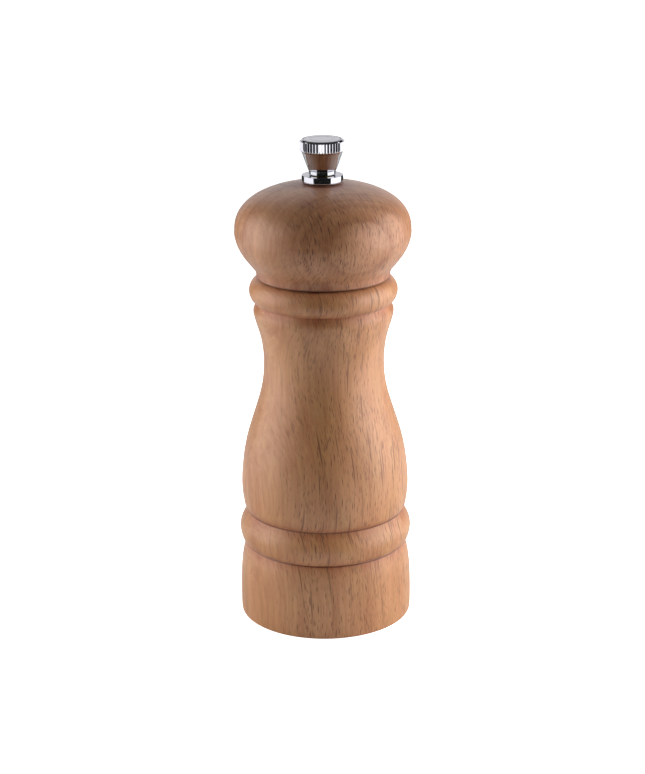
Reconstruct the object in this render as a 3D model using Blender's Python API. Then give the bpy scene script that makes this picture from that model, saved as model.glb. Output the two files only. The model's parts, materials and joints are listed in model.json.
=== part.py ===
"""A turned beech pepper mill: body, lift-off head, adjusting knob and steel burr mechanism.

Sizes are in millimetres. The axis of every turned piece is Z, and Z = 0 is the surface that the
mill stands on. The shaft stands at its lowest setting, which is the coarsest grind.
"""

from math import asin, cos, pi, radians, sin, sqrt, tau

import bmesh
import bpy
from mathutils import Matrix, Vector
from mathutils.geometry import interpolate_bezier

MM = 0.001

# Gaps between pieces
GAP = 0.25  # between faces that rest on or beside each other
SQUARE_GAP = 0.15  # each side of the square shaft in its square holes
TENON_GAP = 0.4  # between the head's tenon and the chamber's wall
BORE_GAP = 0.3  # round a screw, a sleeve or a journal in its hole

# Body, from the table upwards
BASE_RADIUS = 29.5
BASE_HEIGHT = 25.6
LOWER_BEAD_RADIUS = 29.4
LOWER_BEAD_HEIGHT = 11.9
VASE_HEIGHT = 72.7
BULGE_RADIUS = 28.5
WAIST_RADIUS = 20.3
UPPER_BEAD_RADIUS = 24.85
UPPER_BEAD_HEIGHT = 9.0
UPPER_BEAD_ROUND = 4.7
UPPER_GROOVE_RADIUS = 22.65
CHAMBER_RADIUS = 13.5
RECESS_RADIUS = 22.5
RECESS_DEPTH = 8.5
EDGE_BREAK = 0.4

# Keys of the body's outline: (share of the section's height, depth below the section's radius)
BASE_KEYS = ((0.0, 0.5), (0.03, 0.1), (0.25, 0.0), (0.55, 0.18), (0.8, 0.8), (0.985, 1.9))
LOWER_BEAD_KEYS = ((0.0, 2.1), (0.12, 0.75), (0.4, 0.0), (0.62, 0.4), (0.86, 1.8), (0.975, 2.5))
# Keys of the vase above it: (share of its height, share of the way from the waist to the bulge)
VASE_KEYS = ((0.0, 0.8), (0.035, 0.93), (0.15, 1.0), (0.336, 0.783), (0.578, 0.143), (0.717, 0.0),
             (0.833, 0.1), (0.952, 0.384), (0.995, 0.3))
KEY_STEPS = 2  # straight stretches from key to key

# Burr ring and its plate
STATOR_RADIUS = 16.9
STATOR_HEIGHT = 14.0
STATOR_THROAT_RADIUS = 10.9
STATOR_MOUTH_RADIUS = 14.2
STATOR_TEETH = 20
STATOR_TOOTH_DEPTH = 0.8
PLATE_RADIUS = 22.1
PLATE_HOLE_RADIUS = 14.2
PLATE_THICKNESS = 1.2
PLATE_SCREWS = 3

# Bridge over the burrs
BRIDGE_WIDTH = 13.0
BRIDGE_RISE = 14.0
BRIDGE_THICKNESS = 1.2
BRIDGE_FOOT = 1.2
BRIDGE_HEADROOM = 0.8
JOURNAL_RADIUS = 4.6
JOURNAL_STAND = 0.6
THRUST_FLANGE_RADIUS = 6.2
THRUST_FLANGE_THICKNESS = 1.4

# Shaft, burr cone and spring
SHAFT_WIDTH = 5.0
SHAFT_CHAMFER = 0.45
GRIND_TRAVEL = 1.2
GRIND_GAP = 0.3  # between the burrs' teeth at the finest setting
ROTOR_RADIUS = 13.0
ROTOR_HEIGHT = 15.5
ROTOR_SKIRT_HEIGHT = 5.5
ROTOR_SKIRT_TOP_RADIUS = 10.6
ROTOR_TOP_RADIUS = 6.4
ROTOR_TEETH = 20
ROTOR_TOOTH_DEPTH = 0.8
ROTOR_LOBES = 5
ROTOR_LOBE_DEPTH = 1.1
ROTOR_LOBE_TWIST = radians(70)
WASHER_RADIUS = 5.6
WASHER_THICKNESS = 1.0
SPRING_WASHER_RADIUS = 6.1
SPRING_WASHER_THICKNESS = 0.6
NUT_ACROSS_FLATS = 7.0
NUT_HEIGHT = 3.0
FOOT_THREAD_RADIUS = 2.0
FOOT_THREAD_PITCH = 0.7
SHAFT_END_STAND = 0.5
SPRING_WIRE_RADIUS = 0.45
SPRING_RADIUS = 4.9
SPRING_TURNS = 5

# Head
HEAD_RADIUS = 29.3
HEAD_HEIGHT = 31.1
HEAD_WIDEST = 15.45  # height of the widest point above the head's lower edge
HEAD_DOME_POWER = 2.33
HEAD_LIP_RADIUS = 22.1
HEAD_CURL = 0.0425  # how fast the underside curls in, per mm
TENON_LENGTH = 14.5
SHAFT_BORE_RADIUS = 4.1
COUNTERBORE_DEPTH = 1.6
DRIVE_PLATE_RADIUS = 10.5
DRIVE_PLATE_THICKNESS = 1.5
DRIVE_SCREW_CIRCLE = 7.4

# Wood screws
SCREW_RADIUS = 1.3
SCREW_LENGTH = 10.0
SCREW_HEAD_RADIUS = 2.3
SCREW_HEAD_HEIGHT = 1.5
SLOT_WIDTH = 0.6
SLOT_DEPTH = 0.7

# Collar and knob
COLLAR_RADIUS = 6.85
COLLAR_THICKNESS = 2.45
INSERT_RADIUS = 3.6
INSERT_FLANGE_RADIUS = 4.9
INSERT_FLANGE_THICKNESS = 1.2
THREAD_RADIUS = 2.5
THREAD_PITCH = 0.8
THREAD_DEPTH = 0.4
KNOB_HEIGHT = 11.5
KNOB_NECK_RADIUS = 4.4
KNOB_NECK_HEIGHT = 1.45
KNOB_CONE_BASE_RADIUS = 4.72
KNOB_CONE_RADIUS = 6.75
KNOB_RADIUS = 7.45
KNOB_RIM_HEIGHT = 4.3
KNOB_RIM_CHAMFER = 0.9  # height of the slope under the ribs
KNOB_RIBS = 44
KNOB_RIB_DEPTH = 0.3
KNOB_ROOF = 3.9  # solid metal above the blind bore, cap included
KNOB_BEVEL = 0.65
KNOB_FACE_RADIUS = 6.65
CAP_RADIUS = 6.05
CAP_THICKNESS = 0.6

SEGMENTS = 36  # round a wooden piece
SMALL_SEGMENTS = 24  # round a metal piece
SCREW_SEGMENTS = 12
CUT = 1.0  # how far a cutter runs past the wall it cuts
RIM_OVERLAP = 0.05  # how far the ribbed ring and the knob's core run into each other

# Heights worked out from the sizes above
LOWER_GROOVE = BASE_HEIGHT
VASE_BASE = LOWER_GROOVE + LOWER_BEAD_HEIGHT
UPPER_GROOVE = VASE_BASE + VASE_HEIGHT
BODY_TOP = UPPER_GROOVE + UPPER_BEAD_HEIGHT
PLATE_TOP = RECESS_DEPTH - GAP
STATOR_BASE = RECESS_DEPTH
STATOR_TOP = STATOR_BASE + STATOR_HEIGHT
BRIDGE_BASE = STATOR_TOP + GAP
BRIDGE_TOP = BRIDGE_BASE + BRIDGE_RISE
BRIDGE_BORE_TOP = BRIDGE_TOP + BRIDGE_HEADROOM
BRIDGE_UNDERSIDE = BRIDGE_TOP - BRIDGE_THICKNESS
STATOR_BORE_RADIUS = STATOR_RADIUS + BORE_GAP
STATOR_BORE_TOP = BRIDGE_BASE + BRIDGE_FOOT + GAP
BRIDGE_BORE_RADIUS = STATOR_BORE_RADIUS - 1.5
THRUST_TOP = BRIDGE_UNDERSIDE - GAP
THRUST_BASE = THRUST_TOP - THRUST_FLANGE_THICKNESS
SPRING_TOP = THRUST_BASE - GAP

SKIRT_SLOPE = (ROTOR_RADIUS - ROTOR_SKIRT_TOP_RADIUS) / ROTOR_SKIRT_HEIGHT
ROTOR_BASE = STATOR_BASE + 0.5 - GRIND_TRAVEL
ROTOR_TOP = ROTOR_BASE + ROTOR_HEIGHT
SPRING_WASHER_BASE = ROTOR_TOP + GAP
SPRING_BASE = SPRING_WASHER_BASE + SPRING_WASHER_THICKNESS + GAP
WASHER_BASE = ROTOR_BASE - GAP - WASHER_THICKNESS
NUT_BASE = WASHER_BASE - GAP - NUT_HEIGHT
SHAFT_BASE = NUT_BASE - SHAFT_END_STAND

HEAD_BASE = BODY_TOP + GAP
HEAD_TOP = HEAD_BASE + HEAD_HEIGHT
TENON_BASE = HEAD_BASE - TENON_LENGTH
TENON_RADIUS = CHAMBER_RADIUS - TENON_GAP
DRIVE_PLATE_BASE = TENON_BASE + 0.05
DRIVE_RECESS_TOP = DRIVE_PLATE_BASE + DRIVE_PLATE_THICKNESS + GAP
COLLAR_BASE = HEAD_TOP + GAP
COLLAR_TOP = COLLAR_BASE + COLLAR_THICKNESS
INSERT_BASE = COLLAR_BASE - GAP - INSERT_FLANGE_THICKNESS
KNOB_BASE = COLLAR_TOP + GAP
KNOB_TOP = KNOB_BASE + KNOB_HEIGHT
KNOB_BORE_RADIUS = INSERT_RADIUS + BORE_GAP
KNOB_BORE_TOP = KNOB_TOP - KNOB_ROOF
INSERT_TOP = KNOB_BORE_TOP - 2 * GAP
SHAFT_TOP = KNOB_BORE_TOP - GRIND_TRAVEL - GAP
SQUARE_TOP = INSERT_BASE - GRIND_TRAVEL - GAP
COUNTERBORE_BASE = HEAD_TOP - COUNTERBORE_DEPTH

materials = {}


def clear_scene():
    for obj in list(bpy.data.objects):
        bpy.data.objects.remove(obj)


def add_material(name, colour, roughness, metallic):
    material = bpy.data.materials.new(name)
    material.use_nodes = True
    shader = material.node_tree.nodes["Principled BSDF"]
    shader.inputs["Base Color"].default_value = (*colour, 1.0)
    shader.inputs["Roughness"].default_value = roughness
    shader.inputs["Metallic"].default_value = metallic
    material.diffuse_color = (*colour, 1.0)
    materials[name] = material


def place(name, bm, material, sharp=radians(35)):
    """Turn a bmesh in millimetres into a scene object in metres, with its faces pointing out."""
    bmesh.ops.remove_doubles(bm, verts=bm.verts, dist=0.001)
    bmesh.ops.recalc_face_normals(bm, faces=bm.faces)
    bmesh.ops.transform(bm, matrix=Matrix.Scale(MM, 4), verts=bm.verts)
    mesh = bpy.data.meshes.new(name)
    bm.to_mesh(mesh)
    bm.free()
    mesh.shade_smooth()
    mesh.set_sharp_from_angle(angle=sharp)
    obj = bpy.data.objects.new(name, mesh)
    bpy.context.scene.collection.objects.link(obj)
    if material:
        mesh.materials.append(materials[material])
    else:
        obj.hide_render = True
        obj.display_type = "WIRE"
    return obj


def turned(name, outline, material, segments=SMALL_SEGMENTS):
    """Spin an outline of (radius, height) points round Z. It is closed unless it ends on the axis."""
    bm = bmesh.new()
    verts = [bm.verts.new((radius, 0.0, height)) for radius, height in outline]
    on_axis = outline[0][0] == 0.0 and outline[-1][0] == 0.0
    following = verts[1:] if on_axis else verts[1:] + verts[:1]
    edges = [bm.edges.new(pair) for pair in zip(verts, following)]
    bmesh.ops.spin(bm, geom=verts + edges, cent=(0, 0, 0), axis=(0, 0, 1),
                   angle=tau, steps=segments)
    return place(name, bm, material)


def lofted(name, rings, material, closed=False):
    """Join rings of equally many points. A closed loft runs back to its first ring."""
    bm = bmesh.new()
    loops = [[bm.verts.new(point) for point in ring] for ring in rings]
    following = loops[1:] + loops[:1] if closed else loops[1:]
    for lower, upper in zip(loops, following):
        count = len(lower)
        for i in range(count):
            j = (i + 1) % count
            bm.faces.new((lower[i], lower[j], upper[j], upper[i]))
    if not closed:
        bm.faces.new(loops[0])
        bm.faces.new(loops[-1])
    return place(name, bm, material)


def ring(radius_at, height, count):
    """Points round Z at one height, with the radius worked out for each angle."""
    angles = [tau * i / count for i in range(count)]
    return [(radius_at(a) * cos(a), radius_at(a) * sin(a), height) for a in angles]


def prism(name, width, depth, low, high, material=None, at=(0.0, 0.0), angle=0.0):
    """A box that is centred over a point, between two heights."""
    bm = bmesh.new()
    bmesh.ops.create_cube(bm, size=1.0)
    place_at = Matrix.Translation((at[0], at[1], (low + high) / 2))
    size = Matrix.Diagonal((width, depth, high - low, 1.0))
    bmesh.ops.transform(bm, matrix=place_at @ Matrix.Rotation(angle, 4, "Z") @ size, verts=bm.verts)
    return place(name, bm, material)


def rod(name, radius, low, high, material=None, at=(0.0, 0.0), segments=SMALL_SEGMENTS):
    bm = bmesh.new()
    middle = Matrix.Translation((at[0], at[1], (low + high) / 2))
    bmesh.ops.create_cone(bm, cap_ends=True, segments=segments, radius1=radius, radius2=radius,
                          depth=high - low, matrix=middle)
    return place(name, bm, material)


def boolean(target, tool, operation="DIFFERENCE"):
    modifier = target.modifiers.new(tool.name, "BOOLEAN")
    modifier.operation = operation
    modifier.object = tool


def arc(centre_radius, centre_height, radius, start, end, steps):
    """Points of a circular arc in the outline's plane, with its ends at angles from the horizontal."""
    angles = [start + (end - start) * i / steps for i in range(steps + 1)]
    return [(centre_radius + radius * cos(a), centre_height + radius * sin(a)) for a in angles]


def smooth(keys):
    """A smooth curve through the keys, as short straight stretches."""
    knots = [Vector(key).to_3d() for key in keys]
    knots = [2 * knots[0] - knots[1], *knots, 2 * knots[-1] - knots[-2]]
    points = [keys[0]]
    for before, start, end, after in zip(knots, knots[1:], knots[2:], knots[3:]):
        handles = (start + (end - before) / 6, end - (after - start) / 6)
        stretch = interpolate_bezier(start, *handles, end, KEY_STEPS + 1)
        points += [point.to_tuple()[:2] for point in stretch[1:]]
    return points


def inside(keys, radius, low, height):
    """A section whose keys are shares of its height and depths below its radius."""
    return smooth([(radius - depth, low + share * height) for share, depth in keys])


def on_circle(count, radius, start=pi / 2):
    angles = [start + tau * i / count for i in range(count)]
    return [(radius * cos(a), radius * sin(a)) for a in angles]


def body_outline():
    """The outside from the table up to the bead under the head, then the stepped bore down."""
    swell = BULGE_RADIUS - WAIST_RADIUS
    vase = [(WAIST_RADIUS + share * swell, VASE_BASE + height * VASE_HEIGHT)
            for height, share in VASE_KEYS]
    bead_middle = BODY_TOP - UPPER_BEAD_ROUND
    bead_axis = UPPER_BEAD_RADIUS - UPPER_BEAD_ROUND
    groove_angle = -asin(sqrt(1 - ((UPPER_GROOVE_RADIUS - bead_axis) / UPPER_BEAD_ROUND) ** 2))
    return [
        *inside(BASE_KEYS, BASE_RADIUS, 0.0, BASE_HEIGHT),
        *inside(LOWER_BEAD_KEYS, LOWER_BEAD_RADIUS, LOWER_GROOVE, LOWER_BEAD_HEIGHT),
        *smooth(vase),
        *arc(bead_axis, bead_middle, UPPER_BEAD_ROUND, groove_angle, pi / 2, 9),
        (CHAMBER_RADIUS + EDGE_BREAK, BODY_TOP),
        (CHAMBER_RADIUS, BODY_TOP - EDGE_BREAK),
        (CHAMBER_RADIUS, BRIDGE_BORE_TOP),
        (BRIDGE_BORE_RADIUS, BRIDGE_BORE_TOP),
        (BRIDGE_BORE_RADIUS, STATOR_BORE_TOP),
        (STATOR_BORE_RADIUS, STATOR_BORE_TOP),
        (STATOR_BORE_RADIUS, RECESS_DEPTH),
        (RECESS_RADIUS, RECESS_DEPTH),
        (RECESS_RADIUS, EDGE_BREAK),
        (RECESS_RADIUS + EDGE_BREAK, 0.0),
    ]


def dome(height):
    """The head's radius at a height: a full dome above its widest point, a curl below it."""
    widest = HEAD_BASE + HEAD_WIDEST
    if height < widest:
        return max(HEAD_LIP_RADIUS, HEAD_RADIUS - HEAD_CURL * (widest - height) ** 2)
    share = min(1.0, (height - widest) / (HEAD_HEIGHT - HEAD_WIDEST))
    return HEAD_RADIUS * (1 - share ** HEAD_DOME_POWER) ** (1 / HEAD_DOME_POWER)


def head_outline():
    """From the lip over the dome to the knob's counterbore, then down the bore to the tenon."""
    widest = HEAD_BASE + HEAD_WIDEST
    rise = HEAD_HEIGHT - HEAD_WIDEST
    curl_base = widest - sqrt((HEAD_RADIUS - HEAD_LIP_RADIUS) / HEAD_CURL)
    curl = [curl_base + (widest - curl_base) * i / 6 for i in range(7)]
    crown = [widest + rise * sin(pi / 2 * i / 10) for i in range(1, 10)]
    crown = [height for height in crown if dome(height) > COLLAR_RADIUS + EDGE_BREAK]
    counterbore = INSERT_FLANGE_RADIUS + 2 * GAP
    screw_clear = DRIVE_PLATE_RADIUS + BORE_GAP
    return [
        (HEAD_LIP_RADIUS, HEAD_BASE),
        *[(dome(height), height) for height in curl + crown],
        (COLLAR_RADIUS, HEAD_TOP),
        (counterbore, HEAD_TOP),
        (counterbore, COUNTERBORE_BASE),
        (SHAFT_BORE_RADIUS, COUNTERBORE_BASE),
        (SHAFT_BORE_RADIUS, DRIVE_RECESS_TOP),
        (screw_clear, DRIVE_RECESS_TOP),
        (screw_clear, TENON_BASE),
        (TENON_RADIUS - EDGE_BREAK, TENON_BASE),
        (TENON_RADIUS, TENON_BASE + EDGE_BREAK),
        (TENON_RADIUS, HEAD_BASE),
    ]


def square_hole(target, low, high):
    width = SHAFT_WIDTH + 2 * SQUARE_GAP
    boolean(target, prism(target.name + ".square", width, width, low - CUT, high + CUT))


def wood_screw(name, at, seat, slot_angle):
    """A pan-head screw whose head sits against a plate at height `seat` and that drives upwards."""
    head_top = seat - GAP
    tip = head_top + SCREW_LENGTH
    outline = [
        (0.0, head_top - SCREW_HEAD_HEIGHT),
        (SCREW_HEAD_RADIUS * 0.6, head_top - SCREW_HEAD_HEIGHT),
        (SCREW_HEAD_RADIUS, head_top - SCREW_HEAD_HEIGHT * 0.45),
        (SCREW_HEAD_RADIUS, head_top),
        (SCREW_RADIUS, head_top),
        (SCREW_RADIUS, tip - 2 * SCREW_RADIUS),
        (0.0, tip),
    ]
    screw = turned(name, outline, "screw_steel", SCREW_SEGMENTS)
    slot_top = head_top - SCREW_HEAD_HEIGHT + SLOT_DEPTH
    length = 2 * (SCREW_HEAD_RADIUS + CUT)
    for turn in (0, 1):
        slot = prism(f"{name}.slot{turn}", length, SLOT_WIDTH, slot_top - 2 * CUT, slot_top,
                     angle=slot_angle + turn * pi / 2)
        boolean(screw, slot)
        slot.parent = screw
    screw.location = Vector((at[0], at[1], 0.0)) * MM


def screw_holes(target, places, low, high):
    """Clearance holes for screws, at the same places as the screws themselves."""
    for i, at in enumerate(places):
        hole = rod(f"{target.name}.hole{i}", SCREW_RADIUS + BORE_GAP, low, high, None, at,
                   SCREW_SEGMENTS)
        boolean(target, hole)


def threaded_rod(name, radius, depth, pitch, low, high, material=None, steps=12):
    """A rod with one helical ridge, cut square at both ends."""
    bm = bmesh.new()
    turns = int((high - low) / pitch) + 4
    start = low - 2 * pitch
    crests, roots = [], []
    for i in range(turns * steps + 1):
        angle = tau * i / steps
        height = start + pitch * i / steps
        crests.append(bm.verts.new((radius * cos(angle), radius * sin(angle), height)))
        inner = radius - depth
        roots.append(bm.verts.new((inner * cos(angle), inner * sin(angle), height + pitch / 2)))
    for i in range(turns * steps):
        bm.faces.new((crests[i], crests[i + 1], roots[i + 1], roots[i]))
    for i in range((turns - 1) * steps):
        bm.faces.new((roots[i], roots[i + 1], crests[i + 1 + steps], crests[i + steps]))
    for height, side in ((low, -1), (high, 1)):
        geometry = bm.verts[:] + bm.edges[:] + bm.faces[:]
        cut = bmesh.ops.bisect_plane(bm, geom=geometry, plane_co=(0, 0, height),
                                     plane_no=(0, 0, side), clear_outer=True)
        rim = [item for item in cut["geom_cut"] if isinstance(item, bmesh.types.BMEdge)]
        bmesh.ops.contextual_create(bm, geom=rim)
    return place(name, bm, material)


def build_body():
    places = on_circle(PLATE_SCREWS, (RECESS_RADIUS + STATOR_BORE_RADIUS) / 2)
    body = turned("body", body_outline(), "beech", SEGMENTS)
    screw_top = PLATE_TOP - PLATE_THICKNESS - GAP + SCREW_LENGTH + GAP
    screw_holes(body, places, RECESS_DEPTH - CUT, screw_top)


def build_stator():
    """The fixed burr: a ring with a toothed throat that widens downwards to meet the cone."""
    count = 2 * STATOR_TEETH
    finest_base = ROTOR_BASE + GRIND_TRAVEL
    throat_height = finest_base + (ROTOR_RADIUS + GRIND_GAP - STATOR_THROAT_RADIUS) / SKIRT_SLOPE

    def plain(radius):
        return lambda angle: radius

    def toothed(radius, depth):
        return lambda angle: radius + depth * (round(angle / tau * count) % 2)

    def skirt(height):
        return ROTOR_RADIUS + GRIND_GAP - SKIRT_SLOPE * (height - finest_base)

    rings = [
        ring(plain(STATOR_RADIUS), STATOR_BASE, count),
        ring(plain(STATOR_RADIUS), STATOR_TOP, count),
        ring(plain(STATOR_MOUTH_RADIUS), STATOR_TOP, count),
        ring(toothed(STATOR_THROAT_RADIUS, 1.6 * STATOR_TOOTH_DEPTH), throat_height + 3.0, count),
        ring(toothed(STATOR_THROAT_RADIUS, STATOR_TOOTH_DEPTH), throat_height, count),
        ring(toothed(skirt(STATOR_BASE), STATOR_TOOTH_DEPTH), STATOR_BASE, count),
    ]
    lofted("stator", rings, "hard_steel", closed=True)


def build_grinder_plate():
    base = PLATE_TOP - PLATE_THICKNESS
    outline = [(PLATE_RADIUS, base), (PLATE_RADIUS, PLATE_TOP), (PLATE_HOLE_RADIUS, PLATE_TOP),
               (PLATE_HOLE_RADIUS, base)]
    plate = turned("grinder_plate", outline, "steel", SEGMENTS)
    places = on_circle(PLATE_SCREWS, (RECESS_RADIUS + STATOR_BORE_RADIUS) / 2)
    screw_holes(plate, places, base - CUT, PLATE_TOP + CUT)
    for i, at in enumerate(places):
        wood_screw(f"plate_screw_{i + 1}", at, base, radians(20 + 35 * i))


def build_bridge():
    """A bent strap over the burrs. Its feet are held between the burr ring and the wood."""
    leg = BRIDGE_BORE_RADIUS - BORE_GAP
    span = sqrt(leg ** 2 - (BRIDGE_WIDTH / 2) ** 2)
    foot = sqrt(STATOR_RADIUS ** 2 - (BRIDGE_WIDTH / 2) ** 2)
    thick = BRIDGE_THICKNESS
    half = [(foot, BRIDGE_BASE), (foot, BRIDGE_BASE + BRIDGE_FOOT), (span, BRIDGE_BASE + BRIDGE_FOOT),
            (span, BRIDGE_TOP - thick), (span - thick, BRIDGE_TOP)]
    under = [(span - 1.6 * thick, BRIDGE_UNDERSIDE), (span - thick, BRIDGE_UNDERSIDE - 0.6 * thick),
             (span - thick, BRIDGE_BASE)]
    outer = half + [(-x, z) for x, z in reversed(half)]
    inner = [(-x, z) for x, z in reversed(under)] + under
    bm = bmesh.new()
    side = BRIDGE_WIDTH / 2
    face = bm.faces.new([bm.verts.new((x, -side, z)) for x, z in outer + inner])
    made = bmesh.ops.extrude_face_region(bm, geom=[face])
    moved = [item for item in made["geom"] if isinstance(item, bmesh.types.BMVert)]
    bmesh.ops.translate(bm, verts=moved, vec=(0, BRIDGE_WIDTH, 0))
    bridge = place("bridge", bm, "steel")
    hole = rod("bridge.hole", JOURNAL_RADIUS + BORE_GAP, BRIDGE_UNDERSIDE - CUT, BRIDGE_TOP + CUT)
    boolean(bridge, hole)


def build_thrust_bush():
    """A flanged bush that turns in the bridge with the shaft. The spring pushes up on its flange."""
    outline = [
        (0.0, THRUST_BASE),
        (THRUST_FLANGE_RADIUS, THRUST_BASE),
        (THRUST_FLANGE_RADIUS, THRUST_TOP),
        (JOURNAL_RADIUS, THRUST_TOP),
        (JOURNAL_RADIUS, BRIDGE_TOP + JOURNAL_STAND),
        (0.0, BRIDGE_TOP + JOURNAL_STAND),
    ]
    bush = turned("thrust_bush", outline, "brass")
    square_hole(bush, THRUST_BASE, BRIDGE_TOP + JOURNAL_STAND)


def build_spring():
    """A compression spring with closed ends, as a bevelled curve."""
    low = SPRING_BASE + SPRING_WIRE_RADIUS
    rise = SPRING_TOP - SPRING_WIRE_RADIUS - low
    coil = 2.2 * SPRING_WIRE_RADIUS
    per_turn = 14
    count = SPRING_TURNS * per_turn
    curve = bpy.data.curves.new("spring", "CURVE")
    curve.dimensions = "3D"
    curve.bevel_depth = SPRING_WIRE_RADIUS * MM
    curve.bevel_resolution = 1
    curve.use_fill_caps = True
    spline = curve.splines.new("POLY")
    spline.points.add(count)
    for i, point in enumerate(spline.points):
        turn = i / per_turn
        middle = min(max(turn - 1, 0.0), SPRING_TURNS - 2) / (SPRING_TURNS - 2)
        closed_part = min(turn, 1.0) + max(turn - SPRING_TURNS + 1, 0.0)
        height = low + coil * closed_part + (rise - 2 * coil) * middle
        angle = tau * turn
        place_at = (SPRING_RADIUS * cos(angle), SPRING_RADIUS * sin(angle), height)
        point.co = (*(Vector(place_at) * MM), 1.0)
    curve.materials.append(materials["spring_steel"])
    bpy.context.scene.collection.objects.link(bpy.data.objects.new("spring", curve))


def build_rotor():
    """The turning burr: spiral lobes that crack the corns, above a finely toothed skirt."""
    count = 2 * ROTOR_TEETH
    skirt_top = ROTOR_BASE + ROTOR_SKIRT_HEIGHT

    def toothed(radius):
        return lambda angle: radius - ROTOR_TOOTH_DEPTH * (round(angle / tau * count) % 2)

    def lobed(share):
        radius = ROTOR_SKIRT_TOP_RADIUS + (ROTOR_TOP_RADIUS - ROTOR_SKIRT_TOP_RADIUS) * share
        depth = ROTOR_LOBE_DEPTH * (1 - 0.5 * share)
        twist = ROTOR_LOBE_TWIST * share
        return lambda angle: radius - depth * (1 - cos(ROTOR_LOBES * (angle - twist)))

    rings = [ring(toothed(ROTOR_RADIUS), ROTOR_BASE, count),
             ring(toothed(ROTOR_SKIRT_TOP_RADIUS), skirt_top, count)]
    steps = 5
    for i in range(steps + 1):
        share = i / steps
        height = skirt_top + 0.6 + (ROTOR_TOP - skirt_top - 0.6) * share
        rings.append(ring(lobed(share), height, count))
    rotor = lofted("rotor", rings, "hard_steel")
    square_hole(rotor, ROTOR_BASE, ROTOR_TOP)


def build_shaft():
    """A square bar with a threaded end at the top for the knob and one below for the nut."""
    bm = bmesh.new()
    bmesh.ops.create_cube(bm, size=1.0)
    square_base = WASHER_BASE + WASHER_THICKNESS + GAP
    size = Matrix.Diagonal((SHAFT_WIDTH, SHAFT_WIDTH, SQUARE_TOP - square_base, 1.0))
    middle = Matrix.Translation((0, 0, (SQUARE_TOP + square_base) / 2))
    bmesh.ops.transform(bm, matrix=middle @ size, verts=bm.verts)
    upright = [edge for edge in bm.edges if abs(edge.verts[0].co.z - edge.verts[1].co.z) > CUT]
    bmesh.ops.bevel(bm, geom=upright, offset=SHAFT_CHAMFER, segments=1, affect="EDGES")
    shaft = place("shaft", bm, "steel")
    overlap = 2.0
    top = threaded_rod("shaft.top", THREAD_RADIUS, THREAD_DEPTH, THREAD_PITCH,
                       SQUARE_TOP - overlap, SHAFT_TOP)
    foot = threaded_rod("shaft.foot", FOOT_THREAD_RADIUS, THREAD_DEPTH, FOOT_THREAD_PITCH,
                        SHAFT_BASE, square_base + overlap)
    boolean(shaft, top, "UNION")
    boolean(shaft, foot, "UNION")


def build_shaft_hardware():
    washer = [(WASHER_RADIUS, WASHER_BASE), (WASHER_RADIUS, WASHER_BASE + WASHER_THICKNESS)]
    hole = FOOT_THREAD_RADIUS + BORE_GAP
    inner = [(hole, height) for _, height in reversed(washer)]
    turned("rotor_washer", washer + inner, "steel")

    top = SPRING_WASHER_BASE + SPRING_WASHER_THICKNESS
    disc = [(0.0, SPRING_WASHER_BASE), (SPRING_WASHER_RADIUS, SPRING_WASHER_BASE),
            (SPRING_WASHER_RADIUS, top), (0.0, top)]
    square_hole(turned("spring_washer", disc, "steel"), SPRING_WASHER_BASE, top)

    corner = NUT_ACROSS_FLATS / 2 / cos(pi / 6)
    nut = rod("rotor_nut", corner, NUT_BASE, NUT_BASE + NUT_HEIGHT, "steel", segments=6)
    bore = rod("rotor_nut.bore", hole, NUT_BASE - CUT, NUT_BASE + NUT_HEIGHT + CUT, segments=18)
    boolean(nut, bore)


def build_head():
    head = turned("head", head_outline(), "beech", SEGMENTS)
    places = on_circle(2, DRIVE_SCREW_CIRCLE, 0.0)
    screw_holes(head, places, TENON_BASE, DRIVE_PLATE_BASE + SCREW_LENGTH)

    top = DRIVE_PLATE_BASE + DRIVE_PLATE_THICKNESS
    disc = [(0.0, DRIVE_PLATE_BASE), (DRIVE_PLATE_RADIUS, DRIVE_PLATE_BASE),
            (DRIVE_PLATE_RADIUS, top), (0.0, top)]
    plate = turned("drive_plate", disc, "steel")
    square_hole(plate, DRIVE_PLATE_BASE, top)
    screw_holes(plate, places, DRIVE_PLATE_BASE - CUT, top + CUT)
    for i, at in enumerate(places):
        wood_screw(f"drive_screw_{i + 1}", at, DRIVE_PLATE_BASE, radians(15 + 40 * i))


def build_collar():
    """The disc under the knob. The insert's flange holds it to the knob, free to turn."""
    edge = EDGE_BREAK
    hole = INSERT_RADIUS + BORE_GAP
    outline = [
        (COLLAR_RADIUS, COLLAR_BASE),
        (COLLAR_RADIUS, COLLAR_TOP - edge),
        (COLLAR_RADIUS - edge, COLLAR_TOP),
        (hole, COLLAR_TOP),
        (hole, COLLAR_BASE),
    ]
    turned("collar", outline, "chrome")


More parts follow.
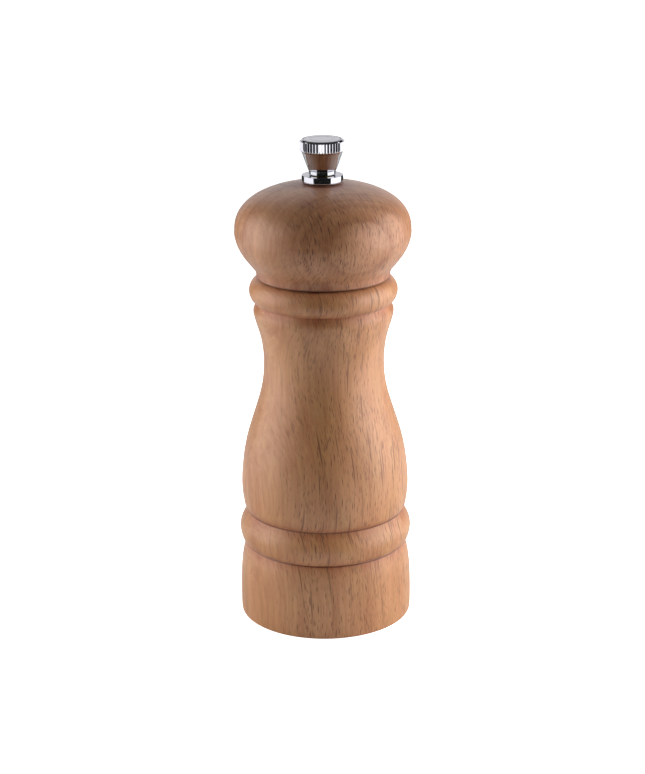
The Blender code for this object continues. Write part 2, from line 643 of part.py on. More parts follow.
def build_knob():
    """A cone that widens to a ribbed rim, a blind bore below and a recess for the cap on top."""
    rim_base = KNOB_TOP - KNOB_RIM_HEIGHT
    rim_top = KNOB_TOP - KNOB_BEVEL
    root_radius = KNOB_RADIUS - KNOB_RIB_DEPTH
    recess_radius = CAP_RADIUS + BORE_GAP / 2
    recess_base = KNOB_TOP - CAP_THICKNESS - GAP
    outline = [
        (KNOB_BORE_RADIUS, KNOB_BASE),
        (KNOB_NECK_RADIUS, KNOB_BASE),
        (KNOB_NECK_RADIUS, KNOB_BASE + KNOB_NECK_HEIGHT - EDGE_BREAK),
        (KNOB_CONE_BASE_RADIUS, KNOB_BASE + KNOB_NECK_HEIGHT),
        (KNOB_CONE_RADIUS, rim_base),
        (KNOB_FACE_RADIUS, rim_top - EDGE_BREAK),
        (root_radius - RIM_OVERLAP, rim_top + RIM_OVERLAP),
        (KNOB_FACE_RADIUS, KNOB_TOP),
        (recess_radius, KNOB_TOP),
        (recess_radius, recess_base),
        (0.0, recess_base),
    ]
    bore_roof = [(0.0, KNOB_BORE_TOP), (KNOB_BORE_RADIUS, KNOB_BORE_TOP)]
    knob = turned("knob", bore_roof + outline, "chrome")

    count = 2 * KNOB_RIBS

    def ribbed(angle):
        return KNOB_RADIUS - KNOB_RIB_DEPTH * (round(angle / tau * count) % 2)

    def plain(angle):
        return KNOB_CONE_RADIUS - 3 * RIM_OVERLAP

    wall_base = rim_base + KNOB_RIM_CHAMFER
    rings = [ring(plain, rim_base - 2 * RIM_OVERLAP, count), ring(ribbed, wall_base, count),
             ring(ribbed, rim_top, count)]
    ribs = lofted("knob.ribs", rings, None)
    rim_hole = (recess_radius + KNOB_FACE_RADIUS) / 2
    boolean(ribs, rod("knob.ribs.hole", rim_hole, rim_base - CUT, rim_top + CUT))
    boolean(knob, ribs, "UNION")

    base = recess_base + GAP
    cap = [(0.0, base), (CAP_RADIUS, base), (CAP_RADIUS, KNOB_TOP - 0.15),
           (CAP_RADIUS - 0.15, KNOB_TOP), (0.0, KNOB_TOP)]
    turned("knob_cap", cap, "chrome")


def build_knob_insert():
    """The threaded sleeve in the knob, with a flange under the collar."""
    bore = THREAD_RADIUS + BORE_GAP
    flange_top = INSERT_BASE + INSERT_FLANGE_THICKNESS
    outline = [
        (bore, INSERT_BASE),
        (INSERT_FLANGE_RADIUS, INSERT_BASE),
        (INSERT_FLANGE_RADIUS, flange_top),
        (INSERT_RADIUS, flange_top),
        (INSERT_RADIUS, INSERT_TOP),
        (bore, INSERT_TOP),
    ]
    turned("knob_insert", outline, "brass")


def main():
    clear_scene()
    add_material("beech", (0.60, 0.37, 0.22), 0.5, 0.0)
    add_material("chrome", (0.80, 0.80, 0.82), 0.08, 1.0)
    add_material("steel", (0.62, 0.63, 0.65), 0.32, 1.0)
    add_material("hard_steel", (0.36, 0.37, 0.39), 0.4, 1.0)
    add_material("screw_steel", (0.70, 0.69, 0.66), 0.28, 1.0)
    add_material("spring_steel", (0.52, 0.53, 0.56), 0.25, 1.0)
    add_material("brass", (0.78, 0.60, 0.30), 0.25, 1.0)
    build_body()
    build_stator()
    build_grinder_plate()
    build_bridge()
    build_thrust_bush()
    build_spring()
    build_rotor()
    build_shaft()
    build_shaft_hardware()
    build_head()
    build_collar()
    build_knob()
    build_knob_insert()


main()
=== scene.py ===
import json
import math

import bmesh
import bpy
from mathutils import Matrix, Vector
from mathutils.geometry import interpolate_bezier


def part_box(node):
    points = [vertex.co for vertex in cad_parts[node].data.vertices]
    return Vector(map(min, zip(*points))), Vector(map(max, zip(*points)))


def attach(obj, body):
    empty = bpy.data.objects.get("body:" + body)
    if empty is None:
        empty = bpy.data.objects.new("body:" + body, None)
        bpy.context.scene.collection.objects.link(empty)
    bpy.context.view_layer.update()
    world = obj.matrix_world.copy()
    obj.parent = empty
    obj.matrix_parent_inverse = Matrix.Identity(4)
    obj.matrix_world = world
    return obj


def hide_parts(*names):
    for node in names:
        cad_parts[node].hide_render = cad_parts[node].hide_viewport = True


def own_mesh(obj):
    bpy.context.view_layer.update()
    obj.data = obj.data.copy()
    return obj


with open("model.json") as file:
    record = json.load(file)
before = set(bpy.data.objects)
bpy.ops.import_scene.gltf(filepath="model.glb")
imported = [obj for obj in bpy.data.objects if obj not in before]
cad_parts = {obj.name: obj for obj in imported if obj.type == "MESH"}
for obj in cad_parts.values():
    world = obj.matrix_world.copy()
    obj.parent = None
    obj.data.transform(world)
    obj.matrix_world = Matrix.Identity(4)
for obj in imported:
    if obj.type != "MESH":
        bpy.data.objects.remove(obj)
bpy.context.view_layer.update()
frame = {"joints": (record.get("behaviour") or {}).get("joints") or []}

mm = 0.001
openRim = 1.0  # a rim this wide is never reached, so nothing is cut there


# A socket of a node tree, so that sums on it can be written as plain sums
class Value:
    def __init__(self, graph, socket):
        self.graph = graph
        self.socket = socket

    def of(self, name):
        outputs = self.socket.node.outputs
        return Value(self.graph, next(s for s in outputs if s.name == name and s.enabled))

    def __add__(self, other):
        return self.graph.maths("ADD", self, other)

    def __radd__(self, other):
        return self.graph.maths("ADD", other, self)

    def __sub__(self, other):
        return self.graph.maths("SUBTRACT", self, other)

    def __rsub__(self, other):
        return self.graph.maths("SUBTRACT", other, self)

    def __mul__(self, other):
        return self.graph.maths("MULTIPLY", self, other)

    def __rmul__(self, other):
        return self.graph.maths("MULTIPLY", other, self)

    def __truediv__(self, other):
        return self.graph.maths("DIVIDE", self, other)

    def __rtruediv__(self, other):
        return self.graph.maths("DIVIDE", other, self)

    def __pow__(self, other):
        return self.graph.maths("POWER", self, other)


class Graph:
    def __init__(self, tree):
        self.tree = tree
        self.tree.nodes.clear()

    def node(self, kind, settings=None, sockets=None):
        made = self.tree.nodes.new(kind)
        for name, value in (settings or {}).items():
            setattr(made, name, value)
        for name, value in (sockets or {}).items():
            if isinstance(name, int):
                socket = made.inputs[name]
            else:
                socket = next(s for s in made.inputs if s.name == name and s.enabled)
            if isinstance(value, Value):
                self.tree.links.new(value.socket, socket)
            else:
                socket.default_value = value
        first = next((s for s in made.outputs if s.enabled), None)
        return Value(self, first)

    def maths(self, operation, *values):
        return self.node("ShaderNodeMath", {"operation": operation}, dict(enumerate(values)))

    def blend(self, factor, low, high):
        settings = {"data_type": "RGBA", "blend_type": "MIX"}
        return self.node("ShaderNodeMix", settings, {"Factor": factor, "A": low, "B": high})

    def ease(self, value, low, high):
        sockets = {"Value": value, "From Min": low, "From Max": high}
        return self.node("ShaderNodeMapRange", {"interpolation_type": "SMOOTHSTEP"}, sockets)


def rgba(red, green, blue):
    return (red, green, blue, 1.0)


def link(obj):
    bpy.context.scene.collection.objects.link(obj)
    return obj


def latheTree():
    tree = bpy.data.node_groups.new("turnOnLathe", "GeometryNodeTree")
    graph = Graph(tree)
    face = tree.interface
    face.new_socket("Profile", in_out="INPUT", socket_type="NodeSocketGeometry")
    for name, kind in (("Segments", "Int"), ("Flutes", "Float"), ("Depth", "Float"),
                       ("Twist", "Float"), ("Skew", "Float"), ("Sharp angle", "Float"),
                       ("Material", "Material")):
        face.new_socket(name, in_out="INPUT", socket_type="NodeSocket" + kind)
    face.new_socket("Turned", in_out="OUTPUT", socket_type="NodeSocketGeometry")
    given = graph.node("NodeGroupInput")

    # The profile lies in XZ. It is laid flat, moved in by the rail's radius and swept round it.
    rail = 0.001
    profile = graph.node("GeometryNodeMeshToCurve", {}, {"Mesh": given})
    at = graph.node("ShaderNodeSeparateXYZ", {}, {0: graph.node("GeometryNodeInputPosition")})
    flat = graph.node("ShaderNodeCombineXYZ", {}, {"X": at - rail, "Y": at.of("Z") * -1, "Z": 0.0})
    profile = graph.node("GeometryNodeSetPosition", {}, {"Geometry": profile, "Position": flat})
    circle = graph.node("GeometryNodeCurvePrimitiveCircle", {"mode": "RADIUS"},
                        {"Resolution": given.of("Segments"), "Radius": rail})
    circle = graph.node("GeometryNodeSetCurveNormal", {"mode": "Z_UP"}, {"Curve": circle})
    turned = graph.node("GeometryNodeCurveToMesh", {}, {"Curve": circle, "Profile Curve": profile})
    turned = graph.node("GeometryNodeMergeByDistance", {}, {"Geometry": turned, "Distance": 1e-6})

    # Flutes cut in from each point's rim. They can spiral, and a skew makes them saw teeth.
    rim = graph.node("GeometryNodeInputNamedAttribute", {"data_type": "FLOAT"}, {"Name": "rim"})
    at = graph.node("ShaderNodeSeparateXYZ", {}, {0: graph.node("GeometryNodeInputPosition")})
    x = at.of("X")
    y = at.of("Y")
    radius = (x * x + y * y) ** 0.5
    angle = graph.maths("ARCTAN2", y, x)
    phase = angle * given.of("Flutes") / math.tau + at.of("Z") * given.of("Twist") + 1000.0
    phase = graph.maths("FRACT", phase)
    skew = given.of("Skew")
    wave = graph.maths("MINIMUM", phase / skew, (1 - phase) / (1 - skew))
    cut = graph.maths("MINIMUM", radius, rim - given.of("Depth") * wave)
    share = cut / graph.maths("MAXIMUM", radius, 1e-7)
    moved = graph.node("ShaderNodeCombineXYZ", {}, {"X": x * share, "Y": y * share, "Z": at.of("Z")})
    turned = graph.node("GeometryNodeSetPosition", {}, {"Geometry": turned, "Position": moved})
    edges = graph.node("GeometryNodeInputMeshEdgeAngle")
    sharp = graph.node("FunctionNodeCompare", {"data_type": "FLOAT", "operation": "GREATER_THAN"},
                       {"A": edges, "B": given.of("Sharp angle")})
    turned = graph.node("GeometryNodeStoreNamedAttribute", {"data_type": "BOOLEAN", "domain": "EDGE"},
                        {"Geometry": turned, "Name": "sharp_edge", "Value": sharp})
    turned = graph.node("GeometryNodeRealizeInstances", {}, {"Geometry": turned})
    turned = graph.node("GeometryNodeSetMaterial", {},
                        {"Geometry": turned, "Material": given.of("Material")})
    graph.node("NodeGroupOutput", {}, {"Turned": turned})
    return tree


def runTree(source, tree, values, name):
    modifier = source.modifiers.new(tree.name, "NODES")
    modifier.node_group = tree
    for item in tree.interface.items_tree:
        if item.in_out == "INPUT" and item.name in values:
            modifier[item.identifier] = values[item.name]
    return settle(source, name)


def settle(source, name):
    bpy.context.view_layer.update()
    depsgraph = bpy.context.evaluated_depsgraph_get()
    mesh = bpy.data.meshes.new_from_object(source.evaluated_get(depsgraph), depsgraph=depsgraph)
    mesh.name = name
    data = source.data
    bpy.data.objects.remove(source)
    if data.users == 0:
        bpy.data.meshes.remove(data)
    return link(bpy.data.objects.new(name, mesh))


def faceOutwards(obj):
    bm = bmesh.new()
    bm.from_mesh(obj.data)
    bmesh.ops.remove_doubles(bm, verts=bm.verts, dist=1e-7)
    bmesh.ops.recalc_face_normals(bm, faces=bm.faces)
    for face in bm.faces:
        face.smooth = True
    bm.to_mesh(obj.data)
    bm.free()
    return obj


# Points are (radius, height) in millimetres. A third number is the rim that flutes are cut from,
# and the bands after them, each (height, reach, amount), say how strongly painted shade darkens the wood at
# each height, in grooves and at joints.
def turn(name, points, material, segments=128, closed=True, flutes=None, paintedShadeBands=()):
    mesh = bpy.data.meshes.new(name)
    places = [(p[0] * mm, 0.0, p[1] * mm) for p in points]
    edges = [(i, i + 1) for i in range(len(points) - 1)]
    if closed:
        edges.append((len(points) - 1, 0))
    mesh.from_pydata(places, edges, [])
    rim = mesh.attributes.new("rim", "FLOAT", "POINT")
    paintedShade = mesh.attributes.new("paintedShade", "FLOAT", "POINT")
    for i, point in enumerate(points):
        rim.data[i].value = point[2] * mm if len(point) > 2 else openRim
        # painted shade weight of each point, kept as a point attribute for the wood material
        near = [amount * math.exp(-(((point[1] - height) / reach) ** 2))
                for height, reach, amount in paintedShadeBands]
        paintedShade.data[i].value = max(near, default=0.0)
    values = {"Segments": segments, "Flutes": 1.0, "Depth": 0.0, "Twist": 0.0, "Skew": 0.5,
              "Sharp angle": math.radians(34), "Material": material}
    values.update(flutes or {})
    return faceOutwards(runTree(link(bpy.data.objects.new(name, mesh)), lathe, values, name))


def smoothRun(keys, steps):
    knots = [Vector(key).to_3d() for key in keys]
    knots = [2 * knots[0] - knots[1], *knots, 2 * knots[-1] - knots[-2]]
    points = [tuple(keys[0])]
    for before, start, end, after in zip(knots, knots[1:], knots[2:], knots[3:]):
        handles = (start + (end - before) / 6, end - (after - start) / 6)
        run = interpolate_bezier(start, *handles, end, steps + 1)
        points += [tuple(point)[:2] for point in run[1:]]
    return points


def arc(centreRadius, centreHeight, radius, start, end, steps):
    angles = [math.radians(start + (end - start) * i / steps) for i in range(steps + 1)]
    return [(centreRadius + radius * math.cos(a), centreHeight + radius * math.sin(a)) for a in angles]


# A closed ring or disc with rounded outer edges
def ringPoints(inner, outer, low, high, soft):
    return [(inner, low), *arc(outer - soft, low + soft, soft, -90, 0, 4),
            *arc(outer - soft, high - soft, soft, 0, 90, 4), (inner, high)]


def boxMesh(width, depth, low, high, at=(0.0, 0.0), angle=0.0, soft=0.0):
    bm = bmesh.new()
    bmesh.ops.create_cube(bm, size=1.0)
    size = Matrix.Diagonal((width * mm, depth * mm, (high - low) * mm, 1.0))
    middle = Matrix.Translation((at[0] * mm, at[1] * mm, (low + high) / 2 * mm))
    bmesh.ops.transform(bm, matrix=middle @ Matrix.Rotation(angle, 4, "Z") @ size, verts=bm.verts)
    if soft:
        upright = [e for e in bm.edges if abs(e.verts[0].co.z - e.verts[1].co.z) > 1e-6]
        bmesh.ops.bevel(bm, geom=upright, offset=soft * mm, segments=2, affect="EDGES")
    mesh = bpy.data.meshes.new("cutter")
    bm.to_mesh(mesh)
    bm.free()
    return link(bpy.data.objects.new("cutter", mesh))


def rodMesh(radius, low, high, at=(0.0, 0.0), sides=32, top=None):
    bm = bmesh.new()
    middle = Matrix.Translation((at[0] * mm, at[1] * mm, (low + high) / 2 * mm))
    bmesh.ops.create_cone(bm, cap_ends=True, segments=sides, radius1=radius * mm,
                          radius2=(radius if top is None else top) * mm,
                          depth=(high - low) * mm, matrix=middle)
    mesh = bpy.data.meshes.new("cutter")
    bm.to_mesh(mesh)
    bm.free()
    return link(bpy.data.objects.new("cutter", mesh))


def carve(obj, cutters, operation="DIFFERENCE"):
    for cutter in cutters:
        modifier = obj.modifiers.new("carve", "BOOLEAN")
        modifier.operation = operation
        modifier.solver = "EXACT"
        modifier.object = cutter
        modifier.use_hole_tolerant = True
    material = obj.data.materials[0]
    name = obj.name
    obj.name = name + ".rough"
    made = settle(obj, name)
    made.data.materials.clear()
    made.data.materials.append(material)
    for polygon in made.data.polygons:
        polygon.material_index = 0
    made.data.shade_smooth()
    made.data.set_sharp_from_angle(angle=math.radians(34))
    for cutter in cutters:
        bpy.data.objects.remove(cutter)
    return made


def joined(name, parts):
    bm = bmesh.new()
    for part in parts:
        bm.from_mesh(part.data)
    mesh = bpy.data.meshes.new(name)
    bm.to_mesh(mesh)
    bm.free()
    mesh.materials.append(parts[0].data.materials[0])
    for part in parts:
        bpy.data.objects.remove(part)
    return link(bpy.data.objects.new(name, mesh))


def onCircle(count, radius, start=math.pi / 2):
    angles = [start + math.tau * i / count for i in range(count)]
    return [(radius * math.cos(a), radius * math.sin(a)) for a in angles]


def finishPiece(obj, body, slotName, *nodes):
    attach(obj, body)
    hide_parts(*nodes)
    print("made", obj.name, len(obj.data.polygons), "faces")
    return obj


lathe = latheTree()


def newMaterial(name):
    material = bpy.data.materials.new(name)
    material.use_nodes = True
    return material, Graph(material.node_tree)


def finishMaterial(graph, sockets, constants):
    shader = graph.node("ShaderNodeBsdfPrincipled", {}, {**sockets, **constants})
    graph.node("ShaderNodeOutputMaterial", {}, {"Surface": shader})


# Beech, as a block that was turned: the growth rings lie round a heart to the front right,
# and the rays show as dark flecks where the surface faces it.
beechCommon = {
    "heartAngle": 27.0,  # degrees to the right of the front
    "heartDistance": 85.0,  # mm from the mill's axis
    "lean": -0.20,  # of the rings, mm per mm of height
    "ringWidth": 4.6,
    "light": (0.555, 0.276, 0.124),
    "warm": (0.555, 0.302, 0.126),
    "dark": (0.335, 0.107, 0.037),
    "fleck": (0.120, 0.040, 0.018),
    # this ring-line colour also paints the painted shade line along grooves and joints
    "line": (0.170, 0.055, 0.022),
    "lineTone": 0.80,
    "ringTone": 0.45,
    "fleckTone": 0.80,
    "fleckSize": (0.56, 11.0, 5.4),  # mm across, inwards and along the grain
    "slant": 0.0,  # of the grain, mm across per mm of height
    "tone": 0.42,
    "paintedShadeTone": 0.60,
    # (size, stretch along the grain, seed, strength) of each set of flecks
    "layers": ((1.0, 1.0, 0.0, 1.0), (0.85, 0.9, 19.0, 1.0), (0.62, 1.0, 37.0, 0.8),
               (0.45, 1.1, 71.0, 0.7), (1.7, 2.8, 113.0, 0.9)),
    "roughness": 0.42,
    "shift": (0.0, 0.0, 0.0),
}


def beech(name, changes):
    look = {**beechCommon, **changes}
    material, graph = newMaterial(name)
    place = graph.node("ShaderNodeTexCoord").of("Object")
    turnBy = math.radians(look["heartAngle"])
    block = graph.node("ShaderNodeMapping", {"vector_type": "POINT"},
                       {"Vector": place, "Rotation": (0.0, 0.0, -turnBy),
                        "Scale": (1000.0, 1000.0, 1000.0), "Location": look["shift"]})

    # The grain wanders a little
    slow = graph.node("ShaderNodeMapping", {}, {"Vector": block, "Scale": (0.05, 0.05, 0.020)})
    wander = graph.node("ShaderNodeTexNoise", {"noise_dimensions": "3D"},
                        {"Vector": slow, "Scale": 1.0, "Detail": 2.0}).of("Color")
    wander = graph.node("ShaderNodeVectorMath", {"operation": "MULTIPLY_ADD"},
                        {0: wander, 1: (3.6, 3.6, 0.0), 2: (-1.8, -1.8, 0.0)})
    grain = graph.node("ShaderNodeVectorMath", {"operation": "ADD"}, {0: block, 1: wander})
    parts = graph.node("ShaderNodeSeparateXYZ", {}, {0: grain})
    along = parts.of("Z")
    across = parts.of("X") + along * look["slant"]
    inwards = parts.of("Y")
    grain = graph.node("ShaderNodeCombineXYZ", {}, {"X": across, "Y": inwards, "Z": along})

    # Growth rings round the heart. Some end in a thin dark line, broken here and there.
    toHeart = inwards + along * look["lean"] + look["heartDistance"]
    distance = (toHeart * toHeart + across * across) ** 0.5
    ring = distance / look["ringWidth"]
    index = graph.maths("FLOOR", ring)
    strength = graph.node("ShaderNodeTexWhiteNoise", {"noise_dimensions": "1D"}, {"W": index})
    late = graph.maths("FRACT", ring)
    thin = graph.ease(late, 0.94, 0.985) * graph.ease(late, 1.0, 0.988)
    broken = graph.node("ShaderNodeMapping", {}, {"Vector": block, "Scale": (0.35, 0.35, 0.06)})
    broken = graph.node("ShaderNodeTexNoise", {}, {"Vector": broken, "Scale": 1.0, "Detail": 2.0})
    sideOn = parts.of("X") * parts.of("X")
    facing = graph.maths("ABSOLUTE", inwards) / ((inwards * inwards + sideOn) ** 0.5 + 0.5)
    line = thin * graph.ease(strength, 0.35, 0.9) * graph.ease(broken, 0.42, 0.62)
    line = line * graph.ease(facing, 0.92, 0.75) * look["lineTone"]
    band = graph.node("ShaderNodeTexNoise", {"noise_dimensions": "1D"},
                      {"W": distance * 0.30, "Scale": 1.0, "Detail": 3.0})

    # Fibres and blotches
    fine = graph.node("ShaderNodeMapping", {}, {"Vector": grain, "Scale": (1.6, 0.35, 0.045)})
    fibre = graph.node("ShaderNodeTexNoise", {}, {"Vector": fine, "Scale": 1.0, "Detail": 5.0,
                                                  "Roughness": 0.7})
    broad = graph.node("ShaderNodeMapping", {}, {"Vector": grain, "Scale": (0.20, 0.12, 0.03)})
    cloud = graph.node("ShaderNodeTexNoise", {}, {"Vector": broad, "Scale": 1.0, "Detail": 2.0})

    # Rays, in several sizes. They run towards the heart, so they show end on where the side faces it.
    endOn = graph.ease(facing, 0.30, 0.80) * 0.9 + 0.10
    flecks = []
    for size, stretch, seedShift, amount in look["layers"]:
        wide, deep, long = look["fleckSize"]
        cell = (1 / (wide * size), 1 / (deep * size), 1 / (long * size * stretch))
        cells = graph.node("ShaderNodeMapping", {}, {"Vector": grain, "Scale": cell,
                                                     "Location": (seedShift, 0.0, 0.0)})
        spots = graph.node("ShaderNodeTexVoronoi", {"feature": "F1"},
                           {"Vector": cells, "Scale": 1.0, "Randomness": 1.0})
        chance = graph.node("ShaderNodeSeparateColor", {}, {0: spots.of("Color")})
        reach = chance * 0.28 + 0.17
        mark = graph.ease(spots.of("Distance") / reach, 1.0, 0.35)
        flecks.append(mark * amount * graph.ease(chance.of("Green"), 0.1, 0.7))
    fleck = flecks[0]
    for other in flecks[1:]:
        fleck = graph.maths("MAXIMUM", fleck, other)
    fleck = fleck * endOn * look["fleckTone"]

    # painted shade: the stored weight darkens the wood towards the dark colour in grooves and at joints
    paintedShade = graph.node("ShaderNodeAttribute", {"attribute_type": "GEOMETRY",
                                              "attribute_name": "paintedShade"}).of("Fac")
    tone = (fibre - 0.5) * 1.35 + (cloud - 0.5) * 0.7 + (band - 0.5) * look["ringTone"] + look["tone"]
    tone = tone + paintedShade * look["paintedShadeTone"]
    tone = graph.maths("MINIMUM", graph.maths("MAXIMUM", tone, 0.0), 1.5)
    colour = graph.blend(graph.ease(band, 0.35, 0.65), rgba(*look["light"]), rgba(*look["warm"]))
    colour = graph.blend(tone, colour, rgba(*look["dark"]))
    colour = graph.blend(line, colour, rgba(*look["line"]))
    # painted shade: a dark line in the ring-line colour along grooves and joints
    colour = graph.blend(graph.ease(paintedShade, 0.75, 1.05), colour, rgba(*look["line"]))
    colour = graph.blend(fleck, colour, rgba(*look["fleck"]))

    roughness = fibre * 0.12 + fleck * 0.15 + (look["roughness"] - 0.06)
    height = fibre * 0.25 - fleck * 1.0 - line * 0.6
    bump = graph.node("ShaderNodeBump", {}, {"Strength": 0.35, "Distance": 0.00006, "Height": height})
    finishMaterial(graph, {"Base Color": colour, "Roughness": roughness, "Normal": bump},
                   {"Coat Weight": 0.34, "Coat Roughness": 0.36, "Specular IOR Level": 0.5,
                    "Sheen Weight": 0.16, "Sheen Roughness": 0.35})
    return material


# Plated and bare metals. "lines" runs the polishing marks round the axis, as on turned work.
metalLooks = {
    "chrome": {"colour": (0.58, 0.58, 0.60), "stain": (0.48, 0.48, 0.51), "roughness": 0.035,
               "wear": 0.05, "lines": 0.02},
    "zincSteel": {"colour": (0.66, 0.67, 0.68), "stain": (0.60, 0.61, 0.63), "roughness": 0.26,
                  "wear": 0.06, "lines": 0.25},
    "burrSteel": {"colour": (0.42, 0.42, 0.43), "stain": (0.36, 0.355, 0.35), "roughness": 0.34,
                  "wear": 0.08, "lines": 0.35},
    "screwSteel": {"colour": (0.72, 0.70, 0.64), "stain": (0.48, 0.45, 0.38), "roughness": 0.24,
                   "wear": 0.14, "lines": 0.12},
    "springSteel": {"colour": (0.55, 0.56, 0.58), "stain": (0.30, 0.30, 0.32), "roughness": 0.20,
                    "wear": 0.12, "lines": 0.10},
    "brass": {"colour": (0.46, 0.32, 0.14), "stain": (0.22, 0.14, 0.06), "roughness": 0.32,
              "wear": 0.14, "lines": 0.22},
}


def metal(name):
    look = metalLooks[name]
    material, graph = newMaterial(name)
    place = graph.node("ShaderNodeTexCoord").of("Object")
    parts = graph.node("ShaderNodeSeparateXYZ", {}, {0: place})
    x = parts.of("X")
    y = parts.of("Y")
    round_ = (x * x + y * y) ** 0.5
    rings = graph.node("ShaderNodeCombineXYZ", {}, {"X": round_ * 9000.0, "Y": parts.of("Z") * 9000.0,
                                                    "Z": graph.maths("ARCTAN2", y, x) * 1.5})
    lines = graph.node("ShaderNodeTexNoise", {}, {"Vector": rings, "Scale": 1.0, "Detail": 3.0})
    blotch = graph.node("ShaderNodeTexNoise", {}, {"Vector": place, "Scale": 420.0, "Detail": 4.0})
    speck = graph.node("ShaderNodeTexNoise", {}, {"Vector": place, "Scale": 2600.0, "Detail": 2.0})
    stain = graph.ease(blotch, 0.50, 0.78) * 0.7
    colour = graph.blend(stain, rgba(*look["colour"]), rgba(*look["stain"]))
    roughness = look["roughness"] + graph.ease(blotch, 0.40, 0.75) * look["wear"] + (lines - 0.5) * 0.05
    roughness = graph.maths("MAXIMUM", roughness, 0.02)
    height = lines * look["lines"] + speck * 0.12 * look["lines"]
    bump = graph.node("ShaderNodeBump", {}, {"Strength": 0.5, "Distance": 0.00002, "Height": height})
    finishMaterial(graph, {"Base Color": colour, "Roughness": roughness, "Normal": bump},
                   {"Metallic": 1.0})
    return material


beechBody = beech("beechBody", {})
beechHead = beech("beechHead", {
    "light": (0.485, 0.232, 0.110),
    "warm": (0.485, 0.254, 0.113),
    "dark": (0.285, 0.088, 0.030),
    "slant": 0.0,
    "layers": ((1.0, 1.0, 0.0, 1.0), (0.9, 1.0, 19.0, 1.0), (0.75, 0.9, 53.0, 1.0),
               (0.6, 1.0, 37.0, 0.9), (0.45, 1.1, 71.0, 0.7)),
    "fleckSize": (0.52, 9.0, 4.6),
    "fleckTone": 1.0,
    "ringWidth": 4.0,
    "heartDistance": 62.0,
    "lean": 0.06,
    "ringTone": 1.3,
    "shift": (3.0, 5.0, 40.0),
})
chrome = metal("chrome")
zincSteel = metal("zincSteel")
burrSteel = metal("burrSteel")
screwSteel = metal("screwSteel")
springSteel = metal("springSteel")
brass = metal("brass")
print("finishes made")


def sizes(node):
    low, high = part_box(node)
    return {"low": low.z / mm, "high": high.z / mm, "radius": high.x / mm, "across": high.y / mm}


atBody = sizes("body")
atHead = sizes("head")
atCollar = sizes("collar")
atKnob = sizes("knob")
atCap = sizes("knob_cap")
atInsert = sizes("knob_insert")
atShaft = sizes("shaft")
atRotor = sizes("rotor")
atStator = sizes("stator")
atPlate = sizes("grinder_plate")
atBridge = sizes("bridge")
atBush = sizes("thrust_bush")
atSpringWasher = sizes("spring_washer")
atRotorWasher = sizes("rotor_washer")
atNut = sizes("rotor_nut")
atDrivePlate = sizes("drive_plate")
atPlateScrew = sizes("plate_screw_1")
atDriveScrew = sizes("drive_screw_1")

gap = 0.25
squareHole = 5.3
screwShank = 1.3
plateScrewCircle = 19.85
driveScrewCircle = 7.4


bodyShape = {
    "baseHeight": 25.6,
    "beadHeight": 11.9,
    "vaseHeight": 72.7,
    "beadRadius": 29.4,
    "bulgeRadius": 28.5,
    "waistRadius": 20.3,
    "topBeadRadius": 24.85,
    "topBeadRound": 4.7,
    "topGrooveRadius": 22.65,
    "chamber": 13.5,
    "bridgeBore": (15.7, 37.55),  # radius, top
    "statorBore": (17.2, 24.2),
    "recess": (22.5, 8.5),
    # (share of the section's height, depth below its radius)
    "baseKeys": ((0.0, 0.5), (0.03, 0.1), (0.25, 0.0), (0.55, 0.18), (0.8, 0.8), (0.985, 1.9)),
    "beadKeys": ((0.0, 2.1), (0.12, 0.75), (0.4, 0.0), (0.62, 0.4), (0.86, 1.8), (0.975, 2.5)),
    # (share of the vase's height, share of the way from the waist to the bulge)
    "vaseKeys": ((0.0, 0.8), (0.035, 0.93), (0.15, 1.0), (0.336, 0.783), (0.578, 0.143),
                 (0.717, 0.0), (0.833, 0.1), (0.952, 0.384), (0.995, 0.3)),
    "steps": 14,
}


def bodyOutline(shape):
    steps = shape["steps"]
    grooveOne = shape["baseHeight"]
    grooveTwo = grooveOne + shape["beadHeight"]
    baseRadius = atBody["radius"]
    swell = shape["bulgeRadius"] - shape["waistRadius"]
    base = [(baseRadius - depth, share * grooveOne) for share, depth in shape["baseKeys"]]
    bead = [(shape["beadRadius"] - depth, grooveOne + share * shape["beadHeight"])
            for share, depth in shape["beadKeys"]]
    vase = [(shape["waistRadius"] + share * swell, grooveTwo + height * shape["vaseHeight"])
            for height, share in shape["vaseKeys"]]
    middle = atBody["high"] - shape["topBeadRound"]
    axis = shape["topBeadRadius"] - shape["topBeadRound"]
    start = -math.degrees(math.acos((shape["topGrooveRadius"] - axis) / shape["topBeadRound"]))
    bore, boreTop = shape["bridgeBore"]
    seat, seatTop = shape["statorBore"]
    recess, recessTop = shape["recess"]
    chamber = shape["chamber"]
    edge = 0.4
    outline = [
        *smoothRun(base, steps),
        *smoothRun(bead, steps),
        *smoothRun(vase, steps),
        *arc(axis, middle, shape["topBeadRound"], start, 90, 28),
        *arc(chamber + edge, atBody["high"] - edge, edge, 90, 180, 5),
        (chamber, boreTop), (bore, boreTop), (bore, seatTop), (seat, seatTop), (seat, recessTop),
        (recess, recessTop), (recess, edge), (recess + edge, 0.0),
    ]
    # painted shade in the three grooves and along the top edge, where the head sits
    paintedShadeBands = [(groove, reach, amount) for groove in (grooveOne, grooveTwo, grooveTwo + shape["vaseHeight"])
             for reach, amount in ((2.2, 0.55), (0.50, 1.2))]
    paintedShadeBands += [(atBody["high"], 0.9, 0.5), (atBody["high"], 0.2, 1.0)]
    return outline, paintedShadeBands


def makeBody():
    outline, paintedShadeBands = bodyOutline(bodyShape)
    body = turn("millBody", outline, beechBody, segments=160, paintedShadeBands=paintedShadeBands)
    top = atPlateScrew["high"] + gap
    holes = [rodMesh(screwShank + 0.3, bodyShape["recess"][1] - 1.0, top, at)
             for at in onCircle(3, plateScrewCircle)]
    return finishPiece(carve(body, holes), "body", "beech_body", "body")


